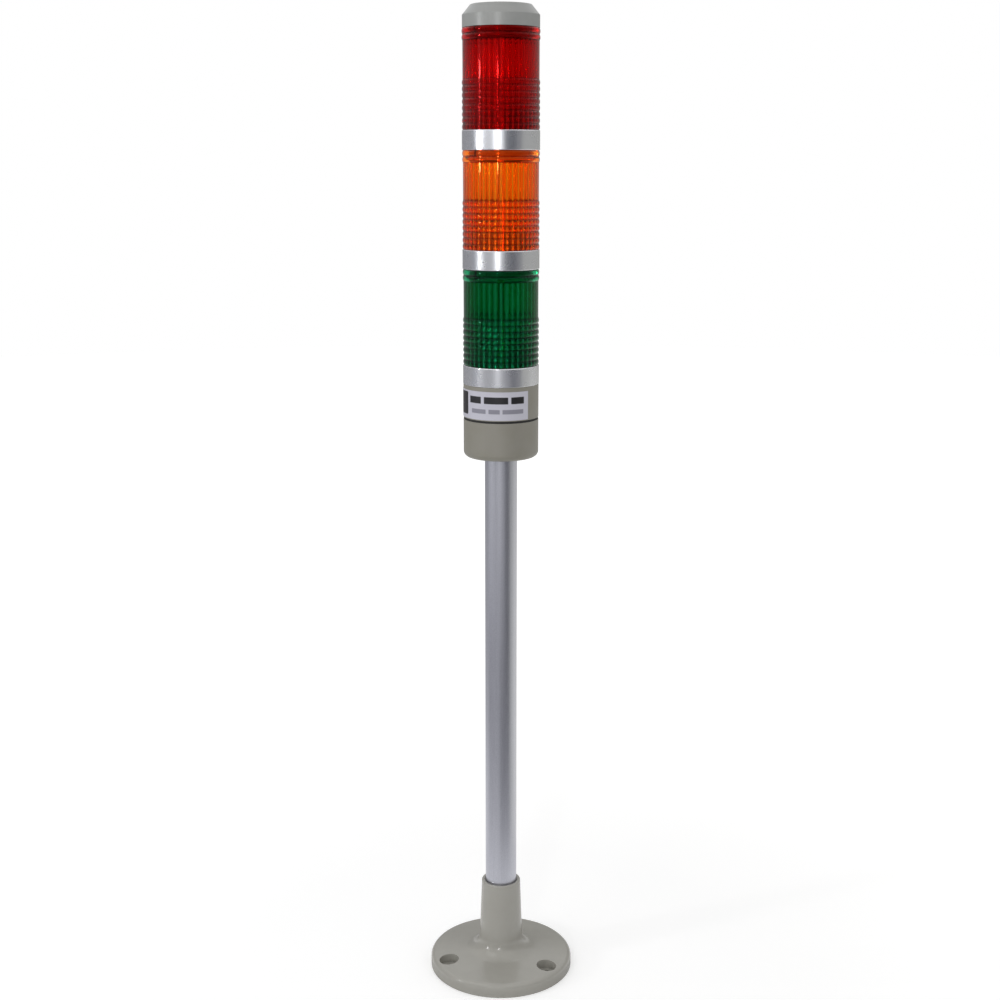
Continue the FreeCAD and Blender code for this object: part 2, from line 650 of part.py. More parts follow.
def build_upper_housing():
    """Build the sleeve over the lower housing: shelf, screw bosses and bayonet mouth."""
    body = new_body("upper_housing", "upper_base")
    section = new_sketch(body, "Section")
    draw_outline(section, [
        ("housing_inside", "0"),
        ("housing_radius", "0"),
        ("housing_radius", "upper_tall"),
        ("mouth_radius", "upper_tall"),
        ("mouth_radius", "upper_tall - bayonet_deep"),
        ("housing_inside", "upper_tall - bayonet_deep"),
        ("housing_inside", "plate_base"),
        ("shelf_radius", "plate_base"),
        ("shelf_radius", "shelf_height"),
        ("housing_inside", "shelf_height"),
    ])
    turn_profile(body, section, "Sleeve")
    boss = new_sketch(body, "TieBoss", "XY_Plane", offset="0 - seal_thick", turn="tie_turn")
    draw_circle(boss, "tie_radius", "0", "tie_nut_dia / 2")
    raised = add_pad(body, boss, "ScrewBoss", "plate_base + seal_thick")
    web = new_sketch(body, "TieWeb", "XY_Plane", offset="lip_tall + lip_fit", turn="tie_turn")
    draw_box(web, "tie_radius", "0 - tie_web / 2", "housing_inside + housing_wall / 2",
             "tie_web / 2")
    tied = add_pad(body, web, "BossWeb", "plate_base - lip_tall - lip_fit")
    ring_of(body, [raised, tied], "ScrewBosses", "tie_count")
    bore = new_sketch(body, "TieBore", "XY_Plane", offset="0 - seal_thick", turn="tie_turn")
    draw_circle(bore, "tie_radius", "0", "tie_hole")
    drilled = cut_pocket(body, bore, "ScrewBore", "tie_top + seal_thick", along_normal=True)
    ring_of(body, [drilled], "ScrewBores", "tie_count", adds=False)
    add_bayonet_mouth(body, "upper_tall")
    return body


def build_housing_seal():
    """Build the seal between the two housings."""
    body = new_body("housing_seal", "lower_base + lower_tall")
    section = new_sketch(body, "Section", "XY_Plane")
    draw_circle(section, "0", "0", "housing_radius - seal_inset")
    draw_circle(section, "0", "0", "lip_outside + lip_fit")
    add_pad(body, section, "Seal", "seal_thick")
    return body


def build_housing_screws():
    """Build the three long screws that tie the housings together, heads down."""
    body = new_body("housing_screws", "lower_base")
    body.AllowCompound = True
    head = new_sketch(body, "Head", "XY_Plane", offset="tie_recess - tie_head_tall",
                      turn="tie_turn")
    draw_circle(head, "tie_radius", "0", "tie_head_dia / 2")
    heads = add_pad(body, head, "ScrewHead", "tie_head_tall")
    shank = new_sketch(body, "Shank", "XY_Plane", offset="tie_recess", turn="tie_turn")
    draw_circle(shank, "tie_radius", "0", "tie_dia / 2")
    shanks = add_pad(body, shank, "ScrewShank", "tie_long")
    ring_of(body, [heads, shanks], "Screws", "tie_count")
    return body


def build_contact_plate():
    """Build the insulating plate that carries the first contacts, with its cable windows."""
    body = new_body("contact_plate", "upper_base + plate_base")
    disc = new_sketch(body, "Disc", "XY_Plane")
    draw_circle(disc, "0", "0", "plate_radius")
    add_pad(body, disc, "Plate", "plate_thick")
    window = new_sketch(body, "Window", "XY_Plane", turn="window_turn")
    draw_circle(window, "window_radius", "0", "window_dia / 2")
    opened = cut_pocket(body, window, "CableWindow", "plate_thick", along_normal=True)
    ring_of(body, [opened], "CableWindows", "strip_count", adds=False)
    return body


def build_contacts(name, base, foot, top):
    """Build a set of bent strips: a pad at the foot, a leg, and a spring at the top."""
    body = new_body(name, base)
    body.AllowCompound = True
    strip = new_sketch(body, "Strip")
    draw_outline(strip, [
        ("strip_back - strip_pad", foot),
        ("strip_back", foot),
        ("strip_back", top),
        ("strip_back - strip_tip", top),
        ("strip_back - strip_tip", f"{top} - strip_thick"),
        ("strip_front", f"{top} - strip_thick"),
        ("strip_front", f"{foot} + strip_thick"),
        ("strip_back - strip_pad", f"{foot} + strip_thick"),
    ])
    leg = add_pad(body, strip, "BentStrip", "strip_wide", both_ways=True)
    ring_of(body, [leg], "Strips", "strip_count")
    return body


def build_terminal_block():
    """Build the terminal block under the contact plate, with its entries and screw wells."""
    body = new_body("terminal_block", "upper_base + plate_base - block_tall")
    outline = new_sketch(body, "Outline", "XY_Plane")
    draw_box(outline, "0 - block_long / 2", "0 - block_wide / 2",
             "block_long / 2", "block_wide / 2")
    add_pad(body, outline, "Block", "block_tall")
    well = new_sketch(body, "Wells", "XY_Plane")
    entry = new_sketch(body, "Entries", offset="block_wide / 2")
    for place in range(number_of("clamp_count")):
        across = f"clamp_pitch * ({place} - (clamp_count - 1) / 2)"
        draw_circle(well, across, "clamp_line", "clamp_dia / 2 + screw_fit")
        draw_circle(entry, across, "block_tall / 2", "entry_dia / 2")
    cut_pocket(body, well, "ScrewWells", "well_deep", along_normal=True)
    cut_pocket(body, entry, "WireEntries", "entry_deep")
    return body


def build_terminal_screws():
    """Build the clamp screws, at the depth where they wait for a wire."""
    body = new_body("terminal_screws", "upper_base + plate_base - block_tall")
    body.AllowCompound = True
    shank = new_sketch(body, "Shanks", "XY_Plane")
    for place in range(number_of("clamp_count")):
        across = f"clamp_pitch * ({place} - (clamp_count - 1) / 2)"
        draw_circle(shank, across, "clamp_line", "clamp_dia / 2")
    add_pad(body, shank, "ClampScrews", "clamp_long")
    return body


def build_label():
    """Build the label that wraps the front and left of the upper housing."""
    body = new_body("label", "upper_base")
    section = new_sketch(body, "Section", turn="label_turn")
    draw_box(section, "label_inside", "label_under",
             "label_inside + label_thick", "upper_tall - label_over")
    turn_profile(body, section, "Wrap", span="label_span")
    return body


def build_ring(name, base):
    """Build a module's bright collar: band, floor, gasket recess and bayonet spigot."""
    body = new_body(name, base)
    section = new_sketch(body, "Section")
    draw_outline(section, [
        ("spigot_inside", "0"),
        ("body_radius", "0"),
        ("body_radius", "ring_tall"),
        ("ring_bore", "ring_tall"),
        ("ring_bore", "ring_floor"),
        ("spigot_inside", "ring_floor"),
    ])
    turn_profile(body, section, "Collar")
    round_edges(body, "CollarEdges", "ring_round", ("body_radius", "0"),
                ("body_radius", "ring_tall"))
    add_gasket_recess(body)
    add_bayonet_spigot(body, "ring_floor / 2")
    return body


def build_gasket(name, base):
    """Build the flat gasket that a tier is seated on."""
    body = new_body(name, base)
    section = new_sketch(body, "Section", "XY_Plane")
    draw_circle(section, "0", "0", "gasket_outside")
    draw_circle(section, "0", "0", "gasket_inside")
    add_pad(body, section, "Gasket", "gasket_thick")
    return body


def build_lens(name, base):
    """Build a lens: fluted inside, ribbed outside, with the next tier's bayonet in its crown."""
    body = new_body(name, base)
    section = new_sketch(body, "Section")
    draw_outline(section, [
        ("lens_crest", "holder_top"),
        ("lens_foot", "holder_top"),
        ("lens_foot", "ring_tall"),
        ("lens_radius", "ring_tall"),
        ("lens_radius", "module_pitch"),
        ("mouth_radius", "module_pitch"),
        ("mouth_radius", "module_pitch - crown_tall"),
        ("lens_crest", "module_pitch - crown_tall"),
    ])
    turn_profile(body, section, "Shell")
    low = new_sketch(body, "LowRib")
    draw_rib(low, "ring_tall + rib_pitch / 2")
    first = turn_profile(body, low, "FirstLowRib")
    column_of(body, [first], "LowRibs", "low_ribs", "rib_pitch")
    high = new_sketch(body, "TopRib")
    draw_rib(high, "module_pitch - rib_pitch * (top_ribs - 1 / 2)")
    second = turn_profile(body, high, "FirstTopRib")
    column_of(body, [second], "TopRibs", "top_ribs", "rib_pitch")
    flute = new_sketch(body, "Flute", "XY_Plane", offset="holder_top", turn="180 / flute_count")
    draw_circle(flute, "lens_crest - flute_sink", "0", "flute_radius")
    hollow = cut_pocket(body, flute, "FirstFlute", "module_pitch - crown_tall - holder_top",
                        along_normal=True)
    ring_of(body, [hollow], "Flutes", "flute_count", adds=False)
    add_bayonet_mouth(body, "module_pitch")
    return body


def draw_rib(sketch, height):
    """Draw one rib of a lens: a flat back inside the wall and a round face outside it."""
    rise = "((rib_wide / 2)^2 + rib_out^2) / (2 * rib_out)"
    draw_outline(sketch, [
        ("lens_radius - rib_out", f"{height} - rib_wide / 2"),
        ("lens_radius", f"{height} - rib_wide / 2", rise),
        ("lens_radius", f"{height} + rib_wide / 2"),
        ("lens_radius - rib_out", f"{height} + rib_wide / 2"),
    ])


def build_holder(name, base):
    """Build a lamp holder: disc on the collar's floor, socket with bayonet slots, strip slots."""
    body = new_body(name, base)
    section = new_sketch(body, "Section")
    draw_outline(section, [
        ("0", "ring_floor"),
        ("ring_bore - holder_gap", "ring_floor"),
        ("ring_bore - holder_gap", "holder_top"),
        ("cup_radius", "holder_top"),
        ("cup_radius", "cup_rim"),
        ("cup_inside", "cup_rim"),
        ("cup_inside", "lamp_foot"),
        ("0", "lamp_foot"),
    ])
    turn_profile(body, section, "DiscAndSocket")
    slot = new_sketch(body, "StripSlot", "XY_Plane", offset="ring_floor")
    draw_box(slot, "strip_front - slot_fit", "0 - strip_wide / 2 - slot_fit",
             "strip_back + slot_fit", "strip_wide / 2 + slot_fit")
    opened = cut_pocket(body, slot, "StripOpening", "holder_thick", along_normal=True)
    ring_of(body, [opened], "StripOpenings", "strip_count", adds=False)
    pins = new_sketch(body, "PinSlot")
    draw_box(pins, "0 - pin_dia / 2 - slot_fit", "pin_level - pin_dia / 2 - slot_fit",
             "pin_dia / 2 + slot_fit", "cup_rim")
    cut_pocket(body, pins, "PinSlots", "cup_radius * 2", both_ways=True)
    return body


def build_lamp(name, base):
    """Build a lamp: metal cap with two side pins, and a glass with a round end."""
    body = new_body(name, base)
    section = new_sketch(body, "Section")
    draw_outline(section, [
        ("0", "lamp_foot"),
        ("lamp_cap_dia / 2", "lamp_foot"),
        ("lamp_cap_dia / 2", "lamp_cap_top"),
        ("lamp_dia / 2", "lamp_cap_top + lamp_flare"),
        ("lamp_dia / 2", "lamp_foot + lamp_tall - lamp_dia / 2", "lamp_dia / 2"),
        ("0", "lamp_foot + lamp_tall"),
    ])
    turn_profile(body, section, "CapAndGlass")
    pins = new_sketch(body, "Pins")
    draw_circle(pins, "0", "pin_level", "pin_dia / 2")
    add_pad(body, pins, "SidePins", "lamp_cap_dia + 2 * pin_out", both_ways=True)
    return body


def build_top_cap():
    """Build the cap: skirt, sloping shoulder, slightly domed crown and bayonet spigot."""
    body = new_body("top_cap", "cap_base")
    outside = new_sketch(body, "CapOutside")
    draw_outline(outside, [
        ("0", "0"),
        ("cap_radius", "0"),
        ("cap_radius", "cap_skirt"),
        ("crown_radius", "cap_shoulder", "dome_radius"),
        ("0", "cap_tall"),
    ])
    turn_profile(body, outside, "CapBlank")
    round_edges(body, "SkirtEdge", "skirt_round", ("cap_radius", "cap_skirt"))
    round_edges(body, "CrownEdge", "crown_round", ("crown_radius", "cap_shoulder"))
    hollow = new_sketch(body, "CapHollow")
    draw_outline(hollow, [
        ("0", "0"),
        ("spigot_inside", "0"),
        ("spigot_inside", "cap_skirt"),
        ("crown_radius - cap_wall", "cap_shoulder - cap_wall"),
        ("0", "cap_shoulder - cap_wall"),
    ])
    turn_profile(body, hollow, "CapShell", adds=False)
    add_gasket_recess(body)
    add_bayonet_spigot(body, "cap_skirt / 2")
    return body


def number_of(alias):
    """Return a whole-number size."""
    return round(number(alias))


def build_all():
    """Build every sub-part and return them."""
    pieces = [
        build_foot(),
        build_set_screw("foot_set_screw", "grub_height", "grub_inner", "neck_at_grub"),
        build_pole(),
        build_set_screw("pole_lock_screw", "lower_base + lock_height", "grub_inner",
                        "grub_inner + lock_long"),
        build_lower_housing(),
        build_housing_seal(),
        build_upper_housing(),
        build_housing_screws(),
        build_label(),
        build_contact_plate(),
        build_contacts("base_contacts", "upper_base", "plate_top", "spring_top"),
        build_terminal_block(),
        build_terminal_screws(),
        build_top_cap(),
        build_gasket("cap_seal", "cap_base"),
    ]
    for level, tier in enumerate(TIERS):
        base = f"first_joint + {level} * module_pitch"
        pieces += [
            build_ring(f"{tier}_ring", base),
            build_gasket(f"{tier}_seal", base),
            build_lens(f"{tier}_lens", base),
            build_holder(f"{tier}_holder", base),
            build_lamp(f"{tier}_lamp", base),
            build_contacts(f"{tier}_contacts", base, "strip_foot", "strip_top"),
        ]
    return pieces


def check_document(pieces):
    """Refuse a failed object, or a sub-part whose shape is null or not valid."""
    for item in document.Objects:
        if "Invalid" in item.State or "Error" in item.State:
            raise RuntimeError(f"{item.Label} failed: {item.State}")
    for piece in pieces:
        if piece.Shape.isNull() or not piece.Shape.isValid():
            raise RuntimeError(f"{piece.Label} has no valid shape")


def write_steps(pieces):
    """Write each sub-part to parts/NAME.step."""
    os.makedirs("parts", exist_ok=True)
    for piece in pieces:
        piece.Shape.exportStep(os.path.join("parts", piece.Label + ".step"))


fill_sheet()
parts = build_all()
document.recompute()
check_document(parts)
write_steps(parts)
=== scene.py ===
import logging
import math
from collections.abc import Mapping, Sequence
from dataclasses import dataclass
from enum import Enum

import bpy
import numpy as np
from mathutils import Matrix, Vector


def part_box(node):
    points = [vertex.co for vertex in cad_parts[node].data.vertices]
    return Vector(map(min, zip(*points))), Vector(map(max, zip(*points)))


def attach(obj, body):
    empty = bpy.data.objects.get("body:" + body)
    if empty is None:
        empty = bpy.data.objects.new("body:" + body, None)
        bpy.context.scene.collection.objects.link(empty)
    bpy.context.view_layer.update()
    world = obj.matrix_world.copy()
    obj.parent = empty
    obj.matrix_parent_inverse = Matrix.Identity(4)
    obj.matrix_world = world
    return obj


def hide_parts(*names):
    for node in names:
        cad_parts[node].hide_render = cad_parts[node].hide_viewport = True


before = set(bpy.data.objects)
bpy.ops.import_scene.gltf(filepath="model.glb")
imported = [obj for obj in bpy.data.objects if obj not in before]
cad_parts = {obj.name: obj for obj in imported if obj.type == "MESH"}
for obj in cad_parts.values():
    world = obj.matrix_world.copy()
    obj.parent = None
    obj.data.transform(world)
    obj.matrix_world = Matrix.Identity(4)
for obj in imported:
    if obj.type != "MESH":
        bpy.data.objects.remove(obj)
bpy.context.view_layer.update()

# Finishes, lenses and studio of a three-tier stack light.
#
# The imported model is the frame: metres, +Z up, the label faces -Y.  Each sub-assembly is a class
# that dresses its own nodes; a light module also builds the surface that stands for its lens.

log = logging.getLogger("stack_light")

MM = 0.001
RIB_PITCH = 3.125 * MM
WHITE = "#FFFFFF"

# A noise texture's mean, and the middle band of its values that a blend spreads from 0 to 1.
NOISE_MEAN = 0.5
NOISE_BAND = (0.35, 0.65)

# Places of the colour sockets on a mix node: its other sockets have the same names.
FIRST_COLOUR = 6
SECOND_COLOUR = 7
MIXED_COLOUR = 2

Inputs = Mapping[str | int, object]
Shade = str | bpy.types.NodeSocket


class Tier(Enum):
    """The light modules, from the pole up."""

    GREEN = "green"
    AMBER = "amber"
    RED = "red"

    def node(self, part: str) -> str:
        """Return the name of one of the module's nodes."""
        return f"{self.value}_{part}"

    @property
    def body(self) -> str:
        """Return the name of the body that turns with the module."""
        return f"{self.value}_module"


# ---------------------------------------------------------------------------------- nodes


def linear(code: str) -> tuple[float, float, float, float]:
    """Turn an sRGB hex colour into opaque linear RGBA.

    By the sRGB standard a dark level is divided by 12.92, and any other is raised by 0.055,
    divided by 1.055 and taken to the power of 2.4.

    Args:
        code: The colour as "#RRGGBB".

    Returns:
        The linear colour.
    """
    levels = np.array([int(code[place:place + 2], 16) for place in (1, 3, 5)]) / 255
    curve = np.where(levels <= 0.04045, levels / 12.92, ((levels + 0.055) / 1.055) ** 2.4)
    return (*(float(level) for level in curve), 1.0)


def add_node(tree: bpy.types.NodeTree, kind: str, settings: Inputs | None = None,
             links: Inputs | None = None) -> bpy.types.Node:
    """Add a shader node, set it up and fill or join its inputs.

    Args:
        tree: The node tree.
        kind: The node's type.
        settings: Attributes of the node, by name.
        links: Inputs by name or place, each a plain value, a node or a node's output.

    Returns:
        The new node.
    """
    node = tree.nodes.new(kind)
    for name, value in (settings or {}).items():
        setattr(node, name, value)
    for place, value in (links or {}).items():
        socket = node.inputs[place]
        if isinstance(value, bpy.types.Node):
            tree.links.new(value.outputs[0], socket)
        elif isinstance(value, bpy.types.NodeSocket):
            tree.links.new(value, socket)
        else:
            socket.default_value = value
    return node


class Recipe:
    """A material's node tree under construction, with its Object coordinates in metres."""

    def __init__(self, name: str) -> None:
        """Start an empty material.

        Args:
            name: The material's name.
        """
        self.material = bpy.data.materials.new(name)
        self.material.use_nodes = True
        self.tree = self.material.node_tree
        self.tree.nodes.clear()
        self.place = self.add("ShaderNodeTexCoord").outputs["Object"]

    def add(self, kind: str, settings: Inputs | None = None,
            links: Inputs | None = None) -> bpy.types.Node:
        """Add a node to this material."""
        return add_node(self.tree, kind, settings, links)

    def math(self, operation: str, *values: object) -> bpy.types.Node:
        """Add one sum, product or other operation on numbers."""
        return self.add("ShaderNodeMath", {"operation": operation}, dict(enumerate(values)))

    def axis(self, name: str) -> bpy.types.NodeSocket:
        """Return one of the point's own X, Y and Z."""
        return self.add("ShaderNodeSeparateXYZ", links={0: self.place}).outputs[name]

    def noise(self, size_mm: float, octaves: float = 2.0,
              place: bpy.types.Node | None = None) -> bpy.types.Node:
        """Add noise whose largest lumps are this many mm across, at a place of its own if any."""
        return self.add("ShaderNodeTexNoise", links={
            "Vector": place or self.place, "Scale": 1 / (size_mm * MM), "Detail": octaves})

    def ramp(self, value: bpy.types.Node, start: float, end: float) -> bpy.types.Node:
        """Run from 0 to 1 while the value runs from its start to its end."""
        return self.add("ShaderNodeMapRange", links={
            "Value": value, "From Min": start, "From Max": end})

    def vary(self, value: bpy.types.Node, middle: float, swing: float) -> bpy.types.Node:
        """Turn a value between 0 and 1 into one that swings both ways from a middle."""
        return self.add("ShaderNodeMapRange", links={
            "Value": value, "To Min": middle - swing, "To Max": middle + swing})

    def relief(self, height: bpy.types.Node, depth_mm: float,
               strength: float) -> bpy.types.Node:
        """Tilt the surface by a height that runs this deep, in millimetres."""
        return self.add("ShaderNodeBump", links={
            "Height": height, "Distance": depth_mm * MM, "Strength": strength})

    def blend(self, factor: bpy.types.Node, first: Shade,
              second: Shade) -> bpy.types.NodeSocket:
        """Mix two colours.

        Args:
            factor: How much of the second colour shows, from 0 to 1.
            first: A hex colour or a socket.
            second: A hex colour or a socket.

        Returns:
            The mixed colour's socket.
        """
        ends = [linear(end) if isinstance(end, str) else end for end in (first, second)]
        mix = self.add("ShaderNodeMix", {"data_type": "RGBA"}, {
            "Factor": factor, FIRST_COLOUR: ends[0], SECOND_COLOUR: ends[1]})
        return mix.outputs[MIXED_COLOUR]

    def finish(self, shader: bpy.types.Node) -> bpy.types.Material:
        """Join the last shader to the output and return the material."""
        self.add("ShaderNodeOutputMaterial", links={"Surface": shader})
        return self.material


# -------------------------------------------------------------------------------- finishes


@dataclass(frozen=True)
class SatinMoulding:
    """Injection-moulded ABS or polyester from a spark-eroded mould.

    The eye sees an even satin grey with a soft sheen, a fine grain in the highlights and a
    slight cloudiness where the melt flowed.  The foot's smoother mould gives small glints.
    """

    name: str
    colour: str
    cloud: str
    roughness: float = 0.42
    roughness_swing: float = 0.05
    grain_mm: float = 0.45
    cloud_mm: float = 14.0
    relief_mm: float = 0.004
    relief_strength: float = 0.6
    refraction: float = 1.53

    def build(self) -> bpy.types.Material:
        """Build the finish.

        Returns:
            The material.
        """
        make = Recipe(self.name)
        clouds = make.noise(self.cloud_mm, octaves=3.0)
        grain = make.noise(self.grain_mm)
        return make.finish(make.add("ShaderNodeBsdfPrincipled", links={
            "Base Color": make.blend(make.ramp(clouds, *NOISE_BAND), self.colour, self.cloud),
            "Roughness": make.vary(grain, self.roughness, self.roughness_swing),
            "IOR": self.refraction,
            "Normal": make.relief(grain, self.relief_mm, self.relief_strength)}))


@dataclass(frozen=True)
class AnodisedTube:
    """Drawn aluminium tube, etched and anodised in its natural colour.

    The eye sees a soft silver with blurred upright reflections, fine die lines along the tube
    and the speckle of the etched skin.
    """

    name: str
    colour: str
    worn: str
    roughness: float = 0.34
    roughness_swing: float = 0.06
    speckle_mm: float = 0.5
    line_mm: float = 0.35
    line_stretch: float = 60.0
    line_share: float = 0.35
    relief_mm: float = 0.01
    relief_strength: float = 0.35

    def build(self) -> bpy.types.Material:
        """Build the finish, its mottle a weighted sum of the die lines and the speckle.

        Returns:
            The material.
        """
        make = Recipe(self.name)
        along = make.add("ShaderNodeMapping", links={
            "Vector": make.place, "Scale": (1.0, 1.0, 1 / self.line_stretch)})
        lines = make.noise(self.line_mm, place=along)
        speckle = make.noise(self.speckle_mm, octaves=1.0)
        mottle = make.math("ADD", make.math("MULTIPLY", lines, self.line_share),
                           make.math("MULTIPLY", speckle, 1 - self.line_share))
        return make.finish(make.add("ShaderNodeBsdfPrincipled", links={
            "Base Color": make.blend(make.ramp(mottle, *NOISE_BAND), self.worn, self.colour),
            "Metallic": 1.0,
            "Roughness": make.vary(mottle, self.roughness, self.roughness_swing),
            "Normal": make.relief(mottle, self.relief_mm, self.relief_strength)}))


@dataclass(frozen=True)
class Stack:
    """Where the light modules stand: the height of the lowest foot, and from foot to foot."""

    foot: float
    pitch: float

    def rise(self, make: Recipe, slack: float = 0.0) -> bpy.types.Node:
        """Give a point's height above its own module's foot.

        Args:
            make: The material under construction.
            slack: How far below a foot the module already counts as its own.

        Returns:
            A node that gives the height, which starts again at every foot.
        """
        above = make.math("SUBTRACT", make.axis("Z"), self.foot - slack)
        return make.math("FLOORED_MODULO", above, self.pitch)


@dataclass(frozen=True)
class MetallisedCollar:
    """Moulded collar, vacuum metallised and lacquered outside, bare moulding on its spigot.

    The eye sees bright silver with smooth upright bands, a little blurred by the lacquer, and
    hardly any grain.  Through the lens below it the spigot is a dull grey.
    """

    name: str
    colour: str
    bare: str
    stack: Stack
    collar_tall: float = 10.5 * MM
    slack: float = 0.05 * MM
    roughness: float = 0.27
    roughness_swing: float = 0.02
    ripple_mm: float = 6.0
    relief_mm: float = 0.01
    relief_strength: float = 0.02
    bare_roughness: float = 0.45
    bare_refraction: float = 1.53

    def build(self) -> bpy.types.Material:
        """Build the finish.

        Returns:
            The material, the same for the collar of every module.
        """
        make = Recipe(self.name)
        ripple = make.noise(self.ripple_mm)
        metal = make.add("ShaderNodeBsdfPrincipled", links={
            "Base Color": linear(self.colour),
            "Metallic": 1.0,
            "Roughness": make.vary(ripple, self.roughness, self.roughness_swing),
            "Normal": make.relief(ripple, self.relief_mm, self.relief_strength)})
        moulding = make.add("ShaderNodeBsdfPrincipled", links={
            "Base Color": linear(self.bare), "Roughness": self.bare_roughness,
            "IOR": self.bare_refraction})
        spigot = make.math("GREATER_THAN", self.stack.rise(make, self.slack), self.collar_tall)
        return make.finish(make.add("ShaderNodeMixShader", links={
            0: spigot, 1: metal, 2: moulding}))


@dataclass(frozen=True)
class Dye:
    """A lens's colours: of the smooth wall, the ribs, the shade painted into the grooves and the shine.
    """

    wall: str
    rib: str
    # Shade painted into the grooves between the ribs, darker than the rib's dye.
    groove_shade: str
    gleam: str


@dataclass(frozen=True)
class TintedPolycarbonate:
    """Clear polycarbonate, dyed through and moulded in a polished tool.

    The eye sees deep colour that brightens where the wall is thin or a flute gathers light,
    and sharp small highlights.  Lamps light the inside through it, tinted by its walls.
    """

    name: str
    dye: Dye
    stack: Stack
    first_groove: float = 10 * MM
    rib_pitch: float = RIB_PITCH
    # Over this span from a groove, the painted groove shade gives way to the rib's dye.
    groove_shade_wide: tuple[float, float] = (0.15 * MM, 0.7 * MM)
    thin_low: float = 35.2 * MM
    thin_high: float = 53.6 * MM
    roughness: float = 0.05
    roughness_swing: float = 0.02
    flow_mm: float = 9.0
    refraction: float = 1.58

    def build(self) -> bpy.types.Material:
        """Build the finish.

        The ribs' dye falls off to the shade painted into the grooves by the distance from the
        nearest groove.  Light on its way inside crosses two faces of the wall, so each passes the
        dye's square root.

        Returns:
            The material.
        """
        make = Recipe(self.name)
        flow = make.noise(self.flow_mm)
        rise = self.stack.rise(make)
        thin = make.math("MULTIPLY", make.math("GREATER_THAN", rise, self.thin_low),
                         make.math("LESS_THAN", rise, self.thin_high))
        # Painted shade: the colour darkens into each groove between the ribs.
        past_groove = make.math("PINGPONG", make.math("SUBTRACT", rise, self.first_groove),
                                self.rib_pitch / 2)
        ribbed = make.blend(make.ramp(past_groove, *self.groove_shade_wide), self.dye.groove_shade,
                            self.dye.rib)
        solid = make.add("ShaderNodeBsdfPrincipled", links={
            "Base Color": make.blend(thin, ribbed, self.dye.wall),
            "Roughness": make.vary(flow, self.roughness, self.roughness_swing),
            "IOR": self.refraction,
            "Specular Tint": linear(self.dye.gleam),
            "Transmission Weight": 1.0})
        half_wall = tuple(math.sqrt(level) for level in linear(self.dye.wall))
        clear = make.add("ShaderNodeBsdfTransparent", links={"Color": half_wall})
        path = make.add("ShaderNodeLightPath")
        indirect = make.math("MAXIMUM", path.outputs["Is Shadow Ray"],
                             path.outputs["Is Diffuse Ray"])
        return make.finish(make.add("ShaderNodeMixShader", links={
            0: indirect, 1: solid, 2: clear}))


@dataclass(frozen=True)
class PlainMetal:
    """Plated or bare metal of a small part.

    The eye sees its colour in broken reflections, with the faint drag lines of stamping or
    turning.
    """

    name: str
    colour: str
    roughness: float
    roughness_swing: float = 0.08
    grain_mm: float = 0.6
    relief_mm: float = 0.01
    relief_strength: float = 0.3

    def build(self) -> bpy.types.Material:
        """Build the finish.

        Returns:
            The material.
        """
        make = Recipe(self.name)
        grain = make.noise(self.grain_mm, octaves=3.0)
        return make.finish(make.add("ShaderNodeBsdfPrincipled", links={
            "Base Color": linear(self.colour),
            "Metallic": 1.0,
            "Roughness": make.vary(grain, self.roughness, self.roughness_swing),
            "Normal": make.relief(grain, self.relief_mm, self.relief_strength)}))


@dataclass(frozen=True)
class NitrileRubber:
    """Moulded black nitrile rubber.

    The eye sees a dull near-black line with a faint bloom.
    """

    name: str
    colour: str
    bloom: str
    bloom_mm: float = 2.5
    roughness: float = 0.75
    refraction: float = 1.52

    def build(self) -> bpy.types.Material:
        """Build the finish.

        Returns:
            The material.
        """
        make = Recipe(self.name)
        bloom = make.noise(self.bloom_mm, octaves=3.0)
        return make.finish(make.add("ShaderNodeBsdfPrincipled", links={
            "Base Color": make.blend(bloom, self.colour, self.bloom),
            "Roughness": self.roughness, "IOR": self.refraction}))


@dataclass(frozen=True)
class LampFinish:
    """A small lamp: nickel-plated cap below, a blown bulb of clear soda-lime glass above.

    The eye sees a bright cap through the lens.  The bulb's wall is too thin to bend what lies
    behind it, so the eye sees only its sheen, stronger toward its edges.
    """

    name: str
    nickel: str
    glass: str
    stack: Stack
    cap_top: float = 21 * MM
    cap_roughness: float = 0.24
    cap_roughness_swing: float = 0.06
    grain_mm: float = 0.8
    bulb_roughness: float = 0.03
    edge_blend: float = 0.3
    face_sheen: float = 0.04
    edge_sheen: float = 0.4
    edge_power: float = 4.0

    def build(self) -> bpy.types.Material:
        """Build the finish.

        The bulb's sheen is the face's, plus the edge's times a power of how far the glass
        turns from the eye.

        Returns:
            The material, the same for the lamp of every module.
        """
        make = Recipe(self.name)
        grain = make.noise(self.grain_mm)
        metal = make.add("ShaderNodeBsdfPrincipled", links={
            "Base Color": linear(self.nickel),
            "Metallic": 1.0,
            "Roughness": make.vary(grain, self.cap_roughness, self.cap_roughness_swing)})
        sheen = make.add("ShaderNodeBsdfGlossy", links={"Roughness": self.bulb_roughness})
        clear = make.add("ShaderNodeBsdfTransparent", links={"Color": linear(self.glass)})
        facing = make.add("ShaderNodeLayerWeight", links={"Blend": self.edge_blend})
        weight = make.math("MULTIPLY_ADD",
                           make.math("POWER", facing.outputs["Facing"], self.edge_power),
                           self.edge_sheen, self.face_sheen)
        bulb = make.add("ShaderNodeMixShader", links={0: weight, 1: clear, 2: sheen})
        above = make.math("GREATER_THAN", self.stack.rise(make), self.cap_top)
        return make.finish(make.add("ShaderNodeMixShader", links={0: above, 1: metal, 2: bulb}))


@dataclass(frozen=True)
class PrintedField:
    """A plain rectangle with rounded corners, printed on the label, in mm on its face."""

    left: float
    low: float
    wide: float
    tall: float
    corner: float


